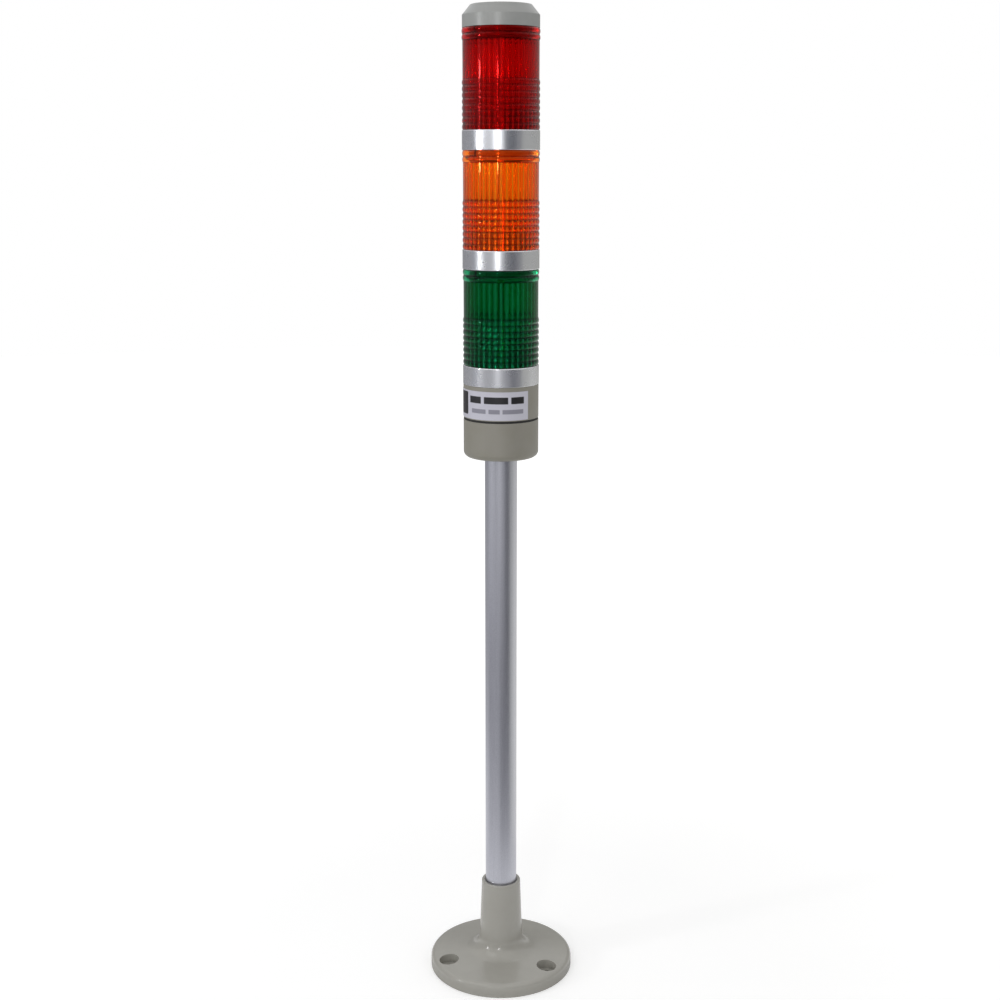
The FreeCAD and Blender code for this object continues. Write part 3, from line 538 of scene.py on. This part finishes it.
@dataclass(frozen=True)
class LabelFilm:
    """Satin polyester label film with plain printed fields.

    The eye sees a pale lilac white, a soft sheen, and the slightly ragged edges of thermal
    print.  Places on it run from its right edge to the left round the housing, in mm.
    """

    name: str
    film: str
    mottle: str
    ink: str
    pale_ink: str
    low: float
    radius: float = 20.05 * MM
    right_edge: float = 314.5
    soft: float = 0.1
    ragged_mm: float = 0.12
    grain_mm: float = 0.4
    mottled: float = 0.2
    roughness: float = 0.4
    refraction: float = 1.5
    dark_fields: tuple[PrintedField, ...] = (
        PrintedField(left=2.8, low=8.6, wide=7.4, tall=3.6, corner=0.3),
        PrintedField(left=11.8, low=8.6, wide=13.0, tall=3.6, corner=0.3),
        PrintedField(left=26.6, low=8.6, wide=7.6, tall=3.6, corner=0.3),
        PrintedField(left=36.1, low=2.1, wide=9.6, tall=12.0, corner=1.0),
    )
    pale_fields: tuple[PrintedField, ...] = (
        PrintedField(left=3.2, low=3.4, wide=11.6, tall=2.3, corner=0.2),
        PrintedField(left=16.2, low=3.4, wide=6.0, tall=2.3, corner=0.2),
        PrintedField(left=23.8, low=3.4, wide=9.0, tall=2.3, corner=0.2),
    )

    def cover(self, make: Recipe, across: bpy.types.Node, up: bpy.types.Node,
              fields: Sequence[PrintedField]) -> bpy.types.Node:
        """Return how much ink covers a point.

        The distance outside a rounded rectangle is the length of the point's offsets past the
        rectangle that its corner arcs are centred on, less the corner's radius.

        Args:
            make: The material under construction.
            across: The point's distance from the label's right edge.
            up: Its height above the label's lower edge.
            fields: The rectangles.

        Returns:
            A node that gives 1 inside any field and 0 outside.
        """
        total = None
        for area in fields:
            past = []
            for value, start, size in ((across, area.left, area.wide), (up, area.low, area.tall)):
                offset = make.math("SUBTRACT", value, start + size / 2)
                beyond = make.math("SUBTRACT", make.math("ABSOLUTE", offset),
                                   size / 2 - area.corner)
                past.append(make.math("POWER", make.math("MAXIMUM", beyond, 0.0), 2.0))
            distance = make.math("SQRT", make.math("ADD", *past))
            ink = make.ramp(distance, area.corner + self.soft, area.corner - self.soft)
            total = ink if total is None else make.math("MAXIMUM", total, ink)
        return total

    def build(self) -> bpy.types.Material:
        """Build the finish.

        The distance across is the radius times the angle from the right edge.

        Returns:
            The material.
        """
        make = Recipe(self.name)
        turn = make.math("ARCTAN2", make.axis("Y"), make.axis("X"))
        edge = math.radians(self.right_edge) - math.tau
        across = make.math("MULTIPLY", make.math("SUBTRACT", edge, turn), self.radius / MM)
        up = make.math("MULTIPLY", make.math("SUBTRACT", make.axis("Z"), self.low), 1 / MM)
        ragged = make.noise(self.grain_mm, octaves=1.0)
        shift = make.math("MULTIPLY", make.math("SUBTRACT", ragged, NOISE_MEAN), self.ragged_mm)
        across = make.math("ADD", across, shift)
        up = make.math("ADD", up, shift)
        film = make.blend(make.math("MULTIPLY", ragged, self.mottled), self.film, self.mottle)
        pale = make.blend(self.cover(make, across, up, self.pale_fields), film, self.pale_ink)
        dark = make.blend(self.cover(make, across, up, self.dark_fields), pale, self.ink)
        return make.finish(make.add("ShaderNodeBsdfPrincipled", links={
            "Base Color": dark, "Roughness": self.roughness, "IOR": self.refraction}))


# ----------------------------------------------------------------------------------- shapes


def grid_mesh(name: str, points: np.ndarray, round_columns: bool, round_rows: bool,
              material: bpy.types.Material, crease: float = 30.0) -> bpy.types.Object:
    """Make a smooth mesh from a grid of points, closed along its rows, its columns or both.

    Args:
        name: The object's name.
        points: Points by row, column and axis.
        round_columns: Whether the last column joins the first.
        round_rows: Whether the last row joins the first.
        material: The finish.
        crease: Edges that turn by more than this many degrees stay sharp.

    Returns:
        The object, its place in its mesh.
    """
    rows, columns = points.shape[:2]
    index = np.arange(rows * columns).reshape(rows, columns)
    if round_columns:
        index = np.concatenate([index, index[:, :1]], axis=1)
    if round_rows:
        index = np.concatenate([index, index[:1]], axis=0)
    corners = (index[:-1, :-1], index[:-1, 1:], index[1:, 1:], index[1:, :-1])
    quads = np.stack(corners, axis=-1).reshape(-1, 4)
    mesh = bpy.data.meshes.new(name)
    mesh.vertices.add(rows * columns)
    mesh.vertices.foreach_set("co", points.astype(np.float32).ravel())
    mesh.loops.add(quads.size)
    mesh.loops.foreach_set("vertex_index", quads.astype(np.int32).ravel())
    mesh.polygons.add(len(quads))
    mesh.polygons.foreach_set("loop_start", np.arange(0, quads.size, 4, dtype=np.int32))
    mesh.polygons.foreach_set("use_smooth", np.ones(len(quads), dtype=bool))
    mesh.update(calc_edges=True)
    mesh.validate()
    mesh.set_sharp_from_angle(angle=math.radians(crease))
    mesh.materials.append(material)
    piece = bpy.data.objects.new(name, mesh)
    bpy.context.scene.collection.objects.link(piece)
    return piece


def turned(radius: np.ndarray, height: np.ndarray, angles: np.ndarray) -> np.ndarray:
    """Return the grid of a turned surface.

    Each point is its row's radius times the cosine and sine of its column's angle, at its
    row's height.

    Args:
        radius: One radius per row, or one per row and column.
        height: One height per row.
        angles: One angle per column, in radians.

    Returns:
        Points by row, column and axis.
    """
    spread = np.broadcast_to(radius if radius.ndim == 2 else radius[:, None],
                             (len(height), len(angles)))
    level = np.broadcast_to(height[:, None], spread.shape)
    return np.stack([spread * np.cos(angles), spread * np.sin(angles), level], axis=-1)


def dress(material: bpy.types.Material, *names: str) -> None:
    """Give CAD nodes a finish.

    Args:
        material: The finish.
        names: The nodes.
    """
    for name in names:
        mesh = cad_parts[name].data
        mesh.materials.clear()
        mesh.materials.append(material)
        log.info("%s: %s", name, material.name)


# ------------------------------------------------------------------------------- assemblies


@dataclass
class Lens:
    """A module's lens: ribbed outside, fluted inside, with the bayonet's mouth in its crown."""

    tier: Tier
    material: bpy.types.Material
    wall_radius: float = 19.55 * MM
    foot_radius: float = 18.9 * MM
    crest_radius: float = 17.2 * MM
    mouth_radius: float = 16.9 * MM
    pocket_radius: float = 18.0 * MM
    collar_rise: float = 5 * MM
    crown_tall: float = 6 * MM
    bayonet_deep: float = 4.8 * MM
    ledge: float = 2.2 * MM
    rib_out: float = 0.35 * MM
    rib_wide: float = 2.7 * MM
    rib_pitch: float = RIB_PITCH
    low_ribs: int = 8
    top_ribs: int = 2
    rib_rows: int = 9
    flutes: int = 36
    flute_radius: float = 1.5 * MM
    flute_centre: float = 16.7 * MM
    flute_columns: int = 15
    lugs: int = 3
    notch_span: float = 21.2
    notch_turn: float = 115.0
    pocket_span: float = 46.2
    pocket_turn: float = 102.5
    step: float = 0.01
    digits: int = 4
    margin: float = 0.06 * MM
    crease: float = 20.0

    def in_span(self, angles: np.ndarray, turn: float, span: float) -> np.ndarray:
        """Tell which angles lie in one of the evenly spaced spans, all in degrees."""
        pitch = 360 / self.lugs
        return np.abs((angles - turn + pitch / 2) % pitch - pitch / 2) < span / 2

    def columns(self) -> np.ndarray:
        """Place the columns: along each flute's arc, and on both sides of every step.

        An arc ends where its circle meets the crests' circle, by the rule of cosines.

        Returns:
            The columns' angles in degrees, in order.
        """
        pitch = 360 / self.flutes
        reach = (self.crest_radius ** 2 + self.flute_centre ** 2 - self.flute_radius ** 2) / (
            2 * self.crest_radius * self.flute_centre)
        edge = math.degrees(math.acos(reach))
        arc = np.linspace(-edge, edge, self.flute_columns)
        fluted = (np.arange(self.flutes)[:, None] + 0.5) * pitch + arc
        steps = [turn + side * span / 2 + nudge
                 for turn, span in ((self.notch_turn, self.notch_span),
                                    (self.pocket_turn, self.pocket_span))
                 for side in (-1, 1) for nudge in (-self.step, self.step)]
        stepped = np.arange(self.lugs)[:, None] * 360 / self.lugs + np.array(steps)
        return np.unique(np.round(np.append(fluted, stepped) % 360, self.digits))

    def flute(self, angles: np.ndarray) -> np.ndarray:
        """Follow the far side of each flute's circle, and the crest between two flutes.

        Args:
            angles: The columns' angles in degrees.

        Returns:
            The wall's radius per column.
        """
        pitch = 360 / self.flutes
        off = np.radians(angles % pitch - pitch / 2)
        under = self.flute_radius ** 2 - (self.flute_centre * np.sin(off)) ** 2
        arc = self.flute_centre * np.cos(off) + np.sqrt(np.maximum(under, 0))
        return np.where(under > 0, np.maximum(arc, self.crest_radius), self.crest_radius)

    def outside(self, base: float, top: float) -> tuple[np.ndarray, np.ndarray]:
        """Return radius and height up the outside: the foot, then circular ribs on the wall.

        A rib stands out by the sagitta of a circle through its two edges and its crest.

        Args:
            base: Height of the collar's top edge.
            top: Height of the crown.

        Returns:
            One radius and one height per row.
        """
        low = base + self.rib_pitch * (np.arange(self.low_ribs) + 0.5)
        high = top - self.rib_pitch * (np.arange(self.top_ribs)[::-1] + 0.5)
        across = np.linspace(-0.5, 0.5, self.rib_rows) * self.rib_wide
        bend = (self.rib_wide ** 2 / 4 + self.rib_out ** 2) / (2 * self.rib_out)
        rise = np.sqrt(bend ** 2 - across ** 2) - (bend - self.rib_out)
        across = np.pad(across, 1, "reflect", reflect_type="odd")
        across[[0, -1]] = across[[1, -2]] + np.array([-self.margin, self.margin])
        rise = np.pad(rise, 1)
        centres = np.concatenate([low, high])
        heights = (centres[:, None] + across).ravel()
        radii = np.tile(self.wall_radius + rise, len(centres))
        foot = base - self.collar_rise
        start_r = [self.foot_radius, self.foot_radius, self.wall_radius]
        start_z = [foot, base, base]
        return (np.concatenate([start_r, radii, [self.wall_radius]]),
                np.concatenate([start_z, heights, [top]]))

    def build(self) -> bpy.types.Object:
        """Build the lens as one closed surface and let it stand for its node.

        The grid's rows go up the outside, over the crown's edge and down the bayonet's mouth
        and the fluted wall; a row's radius changes with the column where notches, pockets and
        flutes are.

        Returns:
            The lens.
        """
        low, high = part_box(self.tier.node("lens"))
        angles = self.columns()
        flat = np.ones_like(angles)
        out_r, out_z = self.outside(low.z + self.collar_rise, high.z)
        notch = np.where(self.in_span(angles, self.notch_turn, self.notch_span),
                         self.pocket_radius, self.mouth_radius)
        pocket = np.where(self.in_span(angles, self.pocket_turn, self.pocket_span),
                          self.pocket_radius, self.mouth_radius)
        ledge_z = high.z - self.ledge
        floor_z = high.z - self.bayonet_deep
        crown_z = high.z - self.crown_tall
        fluted = self.flute(angles)
        mouth = self.mouth_radius * flat
        inside = [(notch, high.z), (notch, ledge_z), (pocket, ledge_z), (pocket, floor_z),
                  (mouth, floor_z), (mouth, crown_z), (fluted, crown_z), (fluted, low.z)]
        radius = np.concatenate([out_r[:, None] * flat, np.array([row for row, _ in inside])])
        height = np.concatenate([out_z, np.array([level for _, level in inside])])
        points = turned(radius, height, np.radians(angles))
        name = self.tier.node("lens_body")
        piece = grid_mesh(name, points, round_columns=True, round_rows=True,
                          material=self.material, crease=self.crease)
        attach(piece, self.tier.body)
        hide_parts(self.tier.node("lens"))
        self.tier.node("lens")
        log.info("%s: %d faces", name, len(piece.data.polygons))
        return piece


@dataclass
class Module:
    """One light module: bright collar, gasket, lens, lamp holder, lamp and contact strips."""

    tier: Tier
    lens: bpy.types.Material
    collar: bpy.types.Material
    rubber: bpy.types.Material
    insulator: bpy.types.Material
    brass: bpy.types.Material
    lamp: bpy.types.Material

    def build(self) -> None:
        """Dress the module's nodes and build its lens."""
        dress(self.collar, self.tier.node("ring"))
        dress(self.rubber, self.tier.node("seal"))
        dress(self.insulator, self.tier.node("holder"))
        dress(self.brass, self.tier.node("contacts"))
        dress(self.lamp, self.tier.node("lamp"))
        Lens(self.tier, self.lens).build()


@dataclass
class Foot:
    """The round screw-down foot, with the set screw in its neck."""

    moulding: bpy.types.Material
    zinc: bpy.types.Material

    def build(self) -> None:
        """Dress the foot's nodes."""
        dress(self.moulding, "foot")
        dress(self.zinc, "foot_set_screw")


@dataclass
class Pole:
    """The drawn tube, with the screw that locks the housing to it."""

    tube: bpy.types.Material
    zinc: bpy.types.Material

    def build(self) -> None:
        """Dress the pole's nodes."""
        dress(self.tube, "pole_tube")
        dress(self.zinc, "pole_lock_screw")


@dataclass
class Housing:
    """The two halves of the housing, the line between them, the label and what is inside."""

    moulding: bpy.types.Material
    rubber: bpy.types.Material
    zinc: bpy.types.Material
    label: bpy.types.Material
    insulator: bpy.types.Material
    brass: bpy.types.Material

    def build(self) -> None:
        """Dress the housing's nodes."""
        dress(self.moulding, "lower_housing", "upper_housing")
        dress(self.rubber, "housing_seal")
        dress(self.zinc, "housing_screws", "terminal_screws")
        dress(self.label, "label")
        dress(self.insulator, "contact_plate", "terminal_block")
        dress(self.brass, "base_contacts")


@dataclass
class Cap:
    """The cap that closes the top module, with its gasket."""

    moulding: bpy.types.Material
    rubber: bpy.types.Material

    def build(self) -> None:
        """Dress the cap's nodes."""
        dress(self.moulding, "top_cap")
        dress(self.rubber, "cap_seal")


# ----------------------------------------------------------------------------------- studio


@dataclass(frozen=True)
class Softbox:
    """A lamp that points at the light, placed by direction and elevation in degrees.

    Its power is pi times its level times its area, so its face looks as bright as its level.
    """

    name: str
    direction: float
    elevation: float
    distance: float
    wide: float
    tall: float
    level: float
    colour: str = WHITE

    def build(self, aim: float) -> None:
        """Hang the lamp.

        Args:
            aim: Height on the pole's axis that it points at.
        """
        lamp = bpy.data.lights.new(self.name, "AREA")
        lamp.shape = "RECTANGLE"
        lamp.size = self.wide
        lamp.size_y = self.tall
        lamp.color = linear(self.colour)[:3]
        lamp.energy = self.level * math.pi * self.wide * self.tall
        turn = math.radians(self.direction)
        lift = math.radians(self.elevation)
        rig = bpy.data.objects.new(self.name, lamp)
        rig.location = (self.distance * math.cos(lift) * math.sin(turn),
                        -self.distance * math.cos(lift) * math.cos(turn),
                        aim + self.distance * math.sin(lift))
        rig.rotation_euler = (math.pi / 2 - lift, 0, turn)
        rig.visible_camera = False
        bpy.context.scene.collection.objects.link(rig)


class Seen(Enum):
    """Which rays see a card."""

    REFLECTIONS = "visible_glossy"
    INSIDES = "visible_transmission"


@dataclass(frozen=True)
class Card:
    """A grey card round the light that only reflections, or only views through a lens, see.

    It runs between two directions, in degrees from the front, and from its near edge to its
    far edge, each with its radius and height in metres and its own shade.
    """

    name: str
    start: float
    end: float
    near: tuple[float, float]
    far: tuple[float, float]
    shade: str
    far_shade: str
    seen: Seen = Seen.REFLECTIONS
    columns: int = 49
    front: float = -90.0

    def build(self) -> None:
        """Put the card up.

        Its shade runs evenly from the near to the far edge by the sum of radius and height.
        """
        make = Recipe(f"card_{self.name}")
        radius = make.math("SQRT", make.math("ADD", make.math("POWER", make.axis("X"), 2.0),
                                             make.math("POWER", make.axis("Y"), 2.0)))
        reach = make.math("ADD", radius, make.axis("Z"))
        along = make.ramp(reach, sum(self.near), sum(self.far))
        material = make.finish(make.add("ShaderNodeEmission", links={
            "Color": make.blend(along, self.shade, self.far_shade)}))
        radii, heights = np.array([self.near, self.far]).T
        turns = np.linspace(self.start, self.end, self.columns) + self.front
        points = turned(radii, heights, np.radians(turns))
        card = grid_mesh(f"card_{self.name}", points, round_columns=False, round_rows=False,
                         material=material)
        for ray in ("visible_camera", "visible_diffuse", "visible_glossy",
                    "visible_transmission", "visible_shadow"):
            setattr(card, ray, ray == self.seen.value)


# Radii and heights of the cards, in metres, and the two directions of a whole circle.
TABLE_HIGH = 0.001
TABLE_INNER = 0.16
TABLE_MIDDLE = 0.5
TABLE_OUTER = 1.2
ROOM = 2.2
ROOM_LOW = -0.35
ROOM_HIGH = 1.15
ALL_ROUND = (-180, 180)


def wall(name: str, start: float, end: float, shade: str, high_shade: str,
         low: float = ROOM_LOW, high: float = ROOM_HIGH) -> Card:
    """Describe a card that stands at the room's edge.

    Args:
        name: The card's name.
        start: Its first direction.
        end: Its last direction.
        shade: Its shade along the low edge.
        high_shade: Its shade along the high edge.
        low: Height of the low edge.
        high: Height of the high edge.

    Returns:
        The card.
    """
    return Card(name, start, end, (ROOM, low), (ROOM, high), shade, high_shade)


def table(name: str, start: float, end: float, near: float, far: float, shade: str,
          far_shade: str) -> Card:
    """Describe a card that lies just above the floor.

    Args:
        name: The card's name.
        start: Its first direction.
        end: Its last direction.
        near: Radius of the near edge.
        far: Radius of the far edge.
        shade: Its shade along the near edge.
        far_shade: Its shade along the far edge.

    Returns:
        The card.
    """
    return Card(name, start, end, (near, TABLE_HIGH), (far, TABLE_HIGH), shade, far_shade)


def veil(name: str, height: float, near: float = 0.15, far: float = 1.7,
         shade: str = "#404040") -> Card:
    """Describe a flat dark ring that only views through a lens see.

    Args:
        name: The card's name.
        height: Its height.
        near: Radius of the near edge.
        far: Radius of the far edge.
        shade: Its one shade.

    Returns:
        The card.
    """
    return Card(name, *ALL_ROUND, (near, height), (far, height), shade, shade, Seen.INSIDES)


@dataclass
class Studio:
    """Floor, white surround, lamps, cards and camera."""

    aim: float = 0.43
    floor_radius: float = 3.0
    floor_drop: float = 0.2 * MM
    floor_step: int = 5
    floor_paint: str = "#E4E4E4"
    floor_roughness: float = 0.9
    floor_glow: tuple[float, float] = (0.4, 0.62)
    glow_reach: tuple[float, float] = (0.12, 0.7)
    camera_back: float = 0.7986
    camera_high: float = 0.45
    camera_down: float = 12.54
    lens_mm: float = 54.73
    shift: float = -0.001
    surround: float = 0.62
    lamps: tuple[Softbox, ...] = (
        Softbox("key", direction=-55, elevation=48, distance=1.6, wide=0.9, tall=0.9, level=1.0),
        Softbox("fill", direction=60, elevation=40, distance=1.7, wide=0.8, tall=0.8, level=0.27,
                colour="#FFF8EA"),
        Softbox("back", direction=180, elevation=55, distance=1.6, wide=0.9, tall=0.5, level=0.6),
        Softbox("window", direction=-66.3, elevation=3.19, distance=1.5, wide=0.11, tall=0.151, level=48),
        Softbox("flash", direction=-9.8, elevation=3.19, distance=1.5, wide=0.09, tall=0.151, level=48),
    )
    cards: tuple[Card, ...] = (
        wall("left_rear", -180, -96, "#8C8C8E", "#A0A0A2"),
        wall("left_side", -96, -72, "#7C8288", "#96969A"),
        wall("front_low", -72, 10, "#101418", "#14181C", -0.1, 0.1),
        wall("front_left", -72, 10, "#14181C", "#FCFDFF", 0.1, 0.66),
        wall("front_dark", 10, 46, "#3A3C42", "#6A6C72"),
        wall("front_grey", 46, 64, "#76777A", "#8C8C8E"),
        wall("right", 64, 180, "#A6A6A2", "#A8A8A4"),
        table("table_near", *ALL_ROUND, 0.045, TABLE_INNER, "#FCFCFC", "#E2E2E4"),
        table("table_left", -180, -100, TABLE_INNER, TABLE_MIDDLE, "#F4F4F6", "#BABABC"),
        table("edge_left", -180, -100, TABLE_MIDDLE, ROOM, "#BABABC", "#ACACAE"),
        table("table", -100, -10, TABLE_INNER, TABLE_MIDDLE, "#D6D6D8", "#76767C"),
        table("table_edge", -100, -10, TABLE_MIDDLE, TABLE_OUTER, "#76767C", "#FCFCFF"),
        table("table_far", -100, 28, TABLE_OUTER, ROOM, "#FCFCFF", "#101014"),
        table("front_shade", -10, 28, TABLE_INNER, TABLE_MIDDLE, "#A0A0A4", "#46464C"),
        table("front_edge", -10, 28, TABLE_MIDDLE, TABLE_OUTER, "#46464C", "#FCFCFF"),
        table("shade", 28, 66, TABLE_INNER, TABLE_MIDDLE, "#A8A8AC", "#68686C"),
        table("shade_edge", 28, 66, TABLE_MIDDLE, ROOM, "#68686C", "#9C9CA0"),
        table("table_right", 66, 95, TABLE_INNER, ROOM, "#D4D4D0", "#B0B0AC"),
        table("rear_right", 95, 180, TABLE_INNER, ROOM, "#F4F4F0", "#DCDCD8"),
        veil("below", 0.03),
        veil("above", 1.1),
    )

    def build_floor(self) -> None:
        """Lay the pale floor: a disc that keeps the shadow and runs into the white surround.

        It glows for the camera alone, and the glow rises smoothly over a span of radii.
        """
        make = Recipe("studio_floor_matt_paint")
        paint = make.add("ShaderNodeBsdfPrincipled", links={
            "Base Color": linear(self.floor_paint), "Roughness": self.floor_roughness})
        seen = make.add("ShaderNodeLightPath").outputs["Is Camera Ray"]
        radius = make.add("ShaderNodeVectorMath", {"operation": "LENGTH"}, {0: make.place})
        glow = make.add("ShaderNodeMapRange", {"interpolation_type": "SMOOTHSTEP"}, {
            "Value": radius.outputs["Value"],
            "From Min": self.glow_reach[0], "From Max": self.glow_reach[1],
            "To Min": self.floor_glow[0], "To Max": self.floor_glow[1]})
        light = make.add("ShaderNodeEmission", links={
            "Strength": make.math("MULTIPLY", seen, glow)})
        material = make.finish(make.add("ShaderNodeAddShader", links={0: paint, 1: light}))
        radii = np.array([0.0, self.floor_radius])
        angles = np.radians(np.arange(0, 360, self.floor_step))
        disc = turned(radii, np.full(2, -self.floor_drop), angles)[::-1]
        floor = grid_mesh("studio_floor", disc, round_columns=True, round_rows=False,
                          material=material)

    def build_surround(self) -> None:
        """Make the surround: white to look at or to mirror, and softer as a light."""
        world = bpy.data.worlds.new("surround")
        world.use_nodes = True
        tree = world.node_tree
        tree.nodes.clear()
        path = add_node(tree, "ShaderNodeLightPath")
        seen = path.outputs["Is Camera Ray"]
        for ray in ("Is Glossy Ray", "Is Transmission Ray"):
            seen = add_node(tree, "ShaderNodeMath", {"operation": "MAXIMUM"},
                            {0: seen, 1: path.outputs[ray]})
        strength = add_node(tree, "ShaderNodeMapRange", links={
            "Value": seen, "To Min": self.surround, "To Max": 1.0})
        back = add_node(tree, "ShaderNodeBackground", links={
            "Color": linear(WHITE), "Strength": strength})
        add_node(tree, "ShaderNodeOutputWorld", links={"Surface": back})
        bpy.context.scene.world = world

    def build_camera(self) -> None:
        """Set the camera in front, a little above the light's middle and looking down."""
        camera = bpy.data.cameras.new("camera")
        camera.lens = self.lens_mm
        camera.shift_x = self.shift
        stand = bpy.data.objects.new("camera", camera)
        stand.location = (0, -self.camera_back, self.camera_high)
        stand.rotation_euler = (math.radians(90 - self.camera_down), 0, 0)
        bpy.context.scene.collection.objects.link(stand)
        bpy.context.scene.camera = stand

    def build(self) -> None:
        """Set everything up."""
        self.build_camera()
        self.build_floor()
        self.build_surround()
        for lamp in self.lamps:
            lamp.build(self.aim)
        for card in self.cards:
            card.build()
        bpy.context.scene.view_settings.view_transform = "Standard"
        log.info("studio: %d lamps, %d cards", len(self.lamps), len(self.cards))


# Each dye's groove colour is shade painted between the ribs.
DYES = {
    Tier.GREEN: Dye(wall="#108754", rib="#129260", groove_shade="#065030", gleam="#388070"),
    Tier.AMBER: Dye(wall="#EE8C12", rib="#FF7A12", groove_shade="#CC4606", gleam="#FF9C50"),
    Tier.RED: Dye(wall="#C00808", rib="#BC0808", groove_shade="#8C0505", gleam="#FF2C2C"),
}


def module_stack() -> Stack:
    """Read off two lenses where the modules stand.

    Returns:
        The lowest module's foot and the pitch of the modules.
    """
    lowest, next_up = (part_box(tier.node("lens"))[0].z for tier in (Tier.GREEN, Tier.AMBER))
    return Stack(foot=lowest - Lens.collar_rise, pitch=next_up - lowest)


def main() -> None:
    """Build the studio, the shared finishes and every sub-assembly, in order."""
    logging.basicConfig(level=logging.INFO, format="%(name)s %(message)s")
    Studio().build()
    stack = module_stack()
    rubber = NitrileRubber("nitrile_rubber", "#1C1C1C", "#2C2B2A").build()
    zinc = PlainMetal("zinc_plated_steel", "#B9BDC4", roughness=0.32).build()
    brass = PlainMetal("rolled_brass", "#B89A58", roughness=0.36).build()
    insulator = SatinMoulding("grey_polyester_moulding", "#8C8A84", "#93918B",
                              roughness=0.45).build()
    collar = MetallisedCollar("metallised_lacquered_collar", "#E6E7EC", "#BDBEBC", stack).build()
    lamp = LampFinish("nickel_and_bulb_glass", "#C9C5BC", "#F4F7F6", stack).build()
    foot = SatinMoulding("moulded_abs_foot", "#A3A19A", "#A7A59E", roughness=0.22).build()
    housing = SatinMoulding("moulded_abs_housing", "#8A877C", "#8E8B82").build()
    cap = SatinMoulding("moulded_abs_cap", "#989A99", "#9D9E9C", roughness=0.3).build()
    tube = AnodisedTube("natural_anodised_tube", "#CBCCD4", "#BFC0C8").build()
    label_low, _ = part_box("label")
    label = LabelFilm("polyester_label_film", "#C9C8D4", "#A9A8B0", "#1B1A1E", "#8B8A96",
                      low=label_low.z).build()
    Foot(foot, zinc).build()
    Pole(tube, zinc).build()
    Housing(housing, rubber, zinc, label, insulator, brass).build()
    for tier, dye in DYES.items():
        lens = TintedPolycarbonate(f"{tier.value}_polycarbonate", dye, stack).build()
        Module(tier, lens, collar, rubber, insulator, brass, lamp).build()
    Cap(cap, rubber).build()


if __name__ == "__main__":
    main()
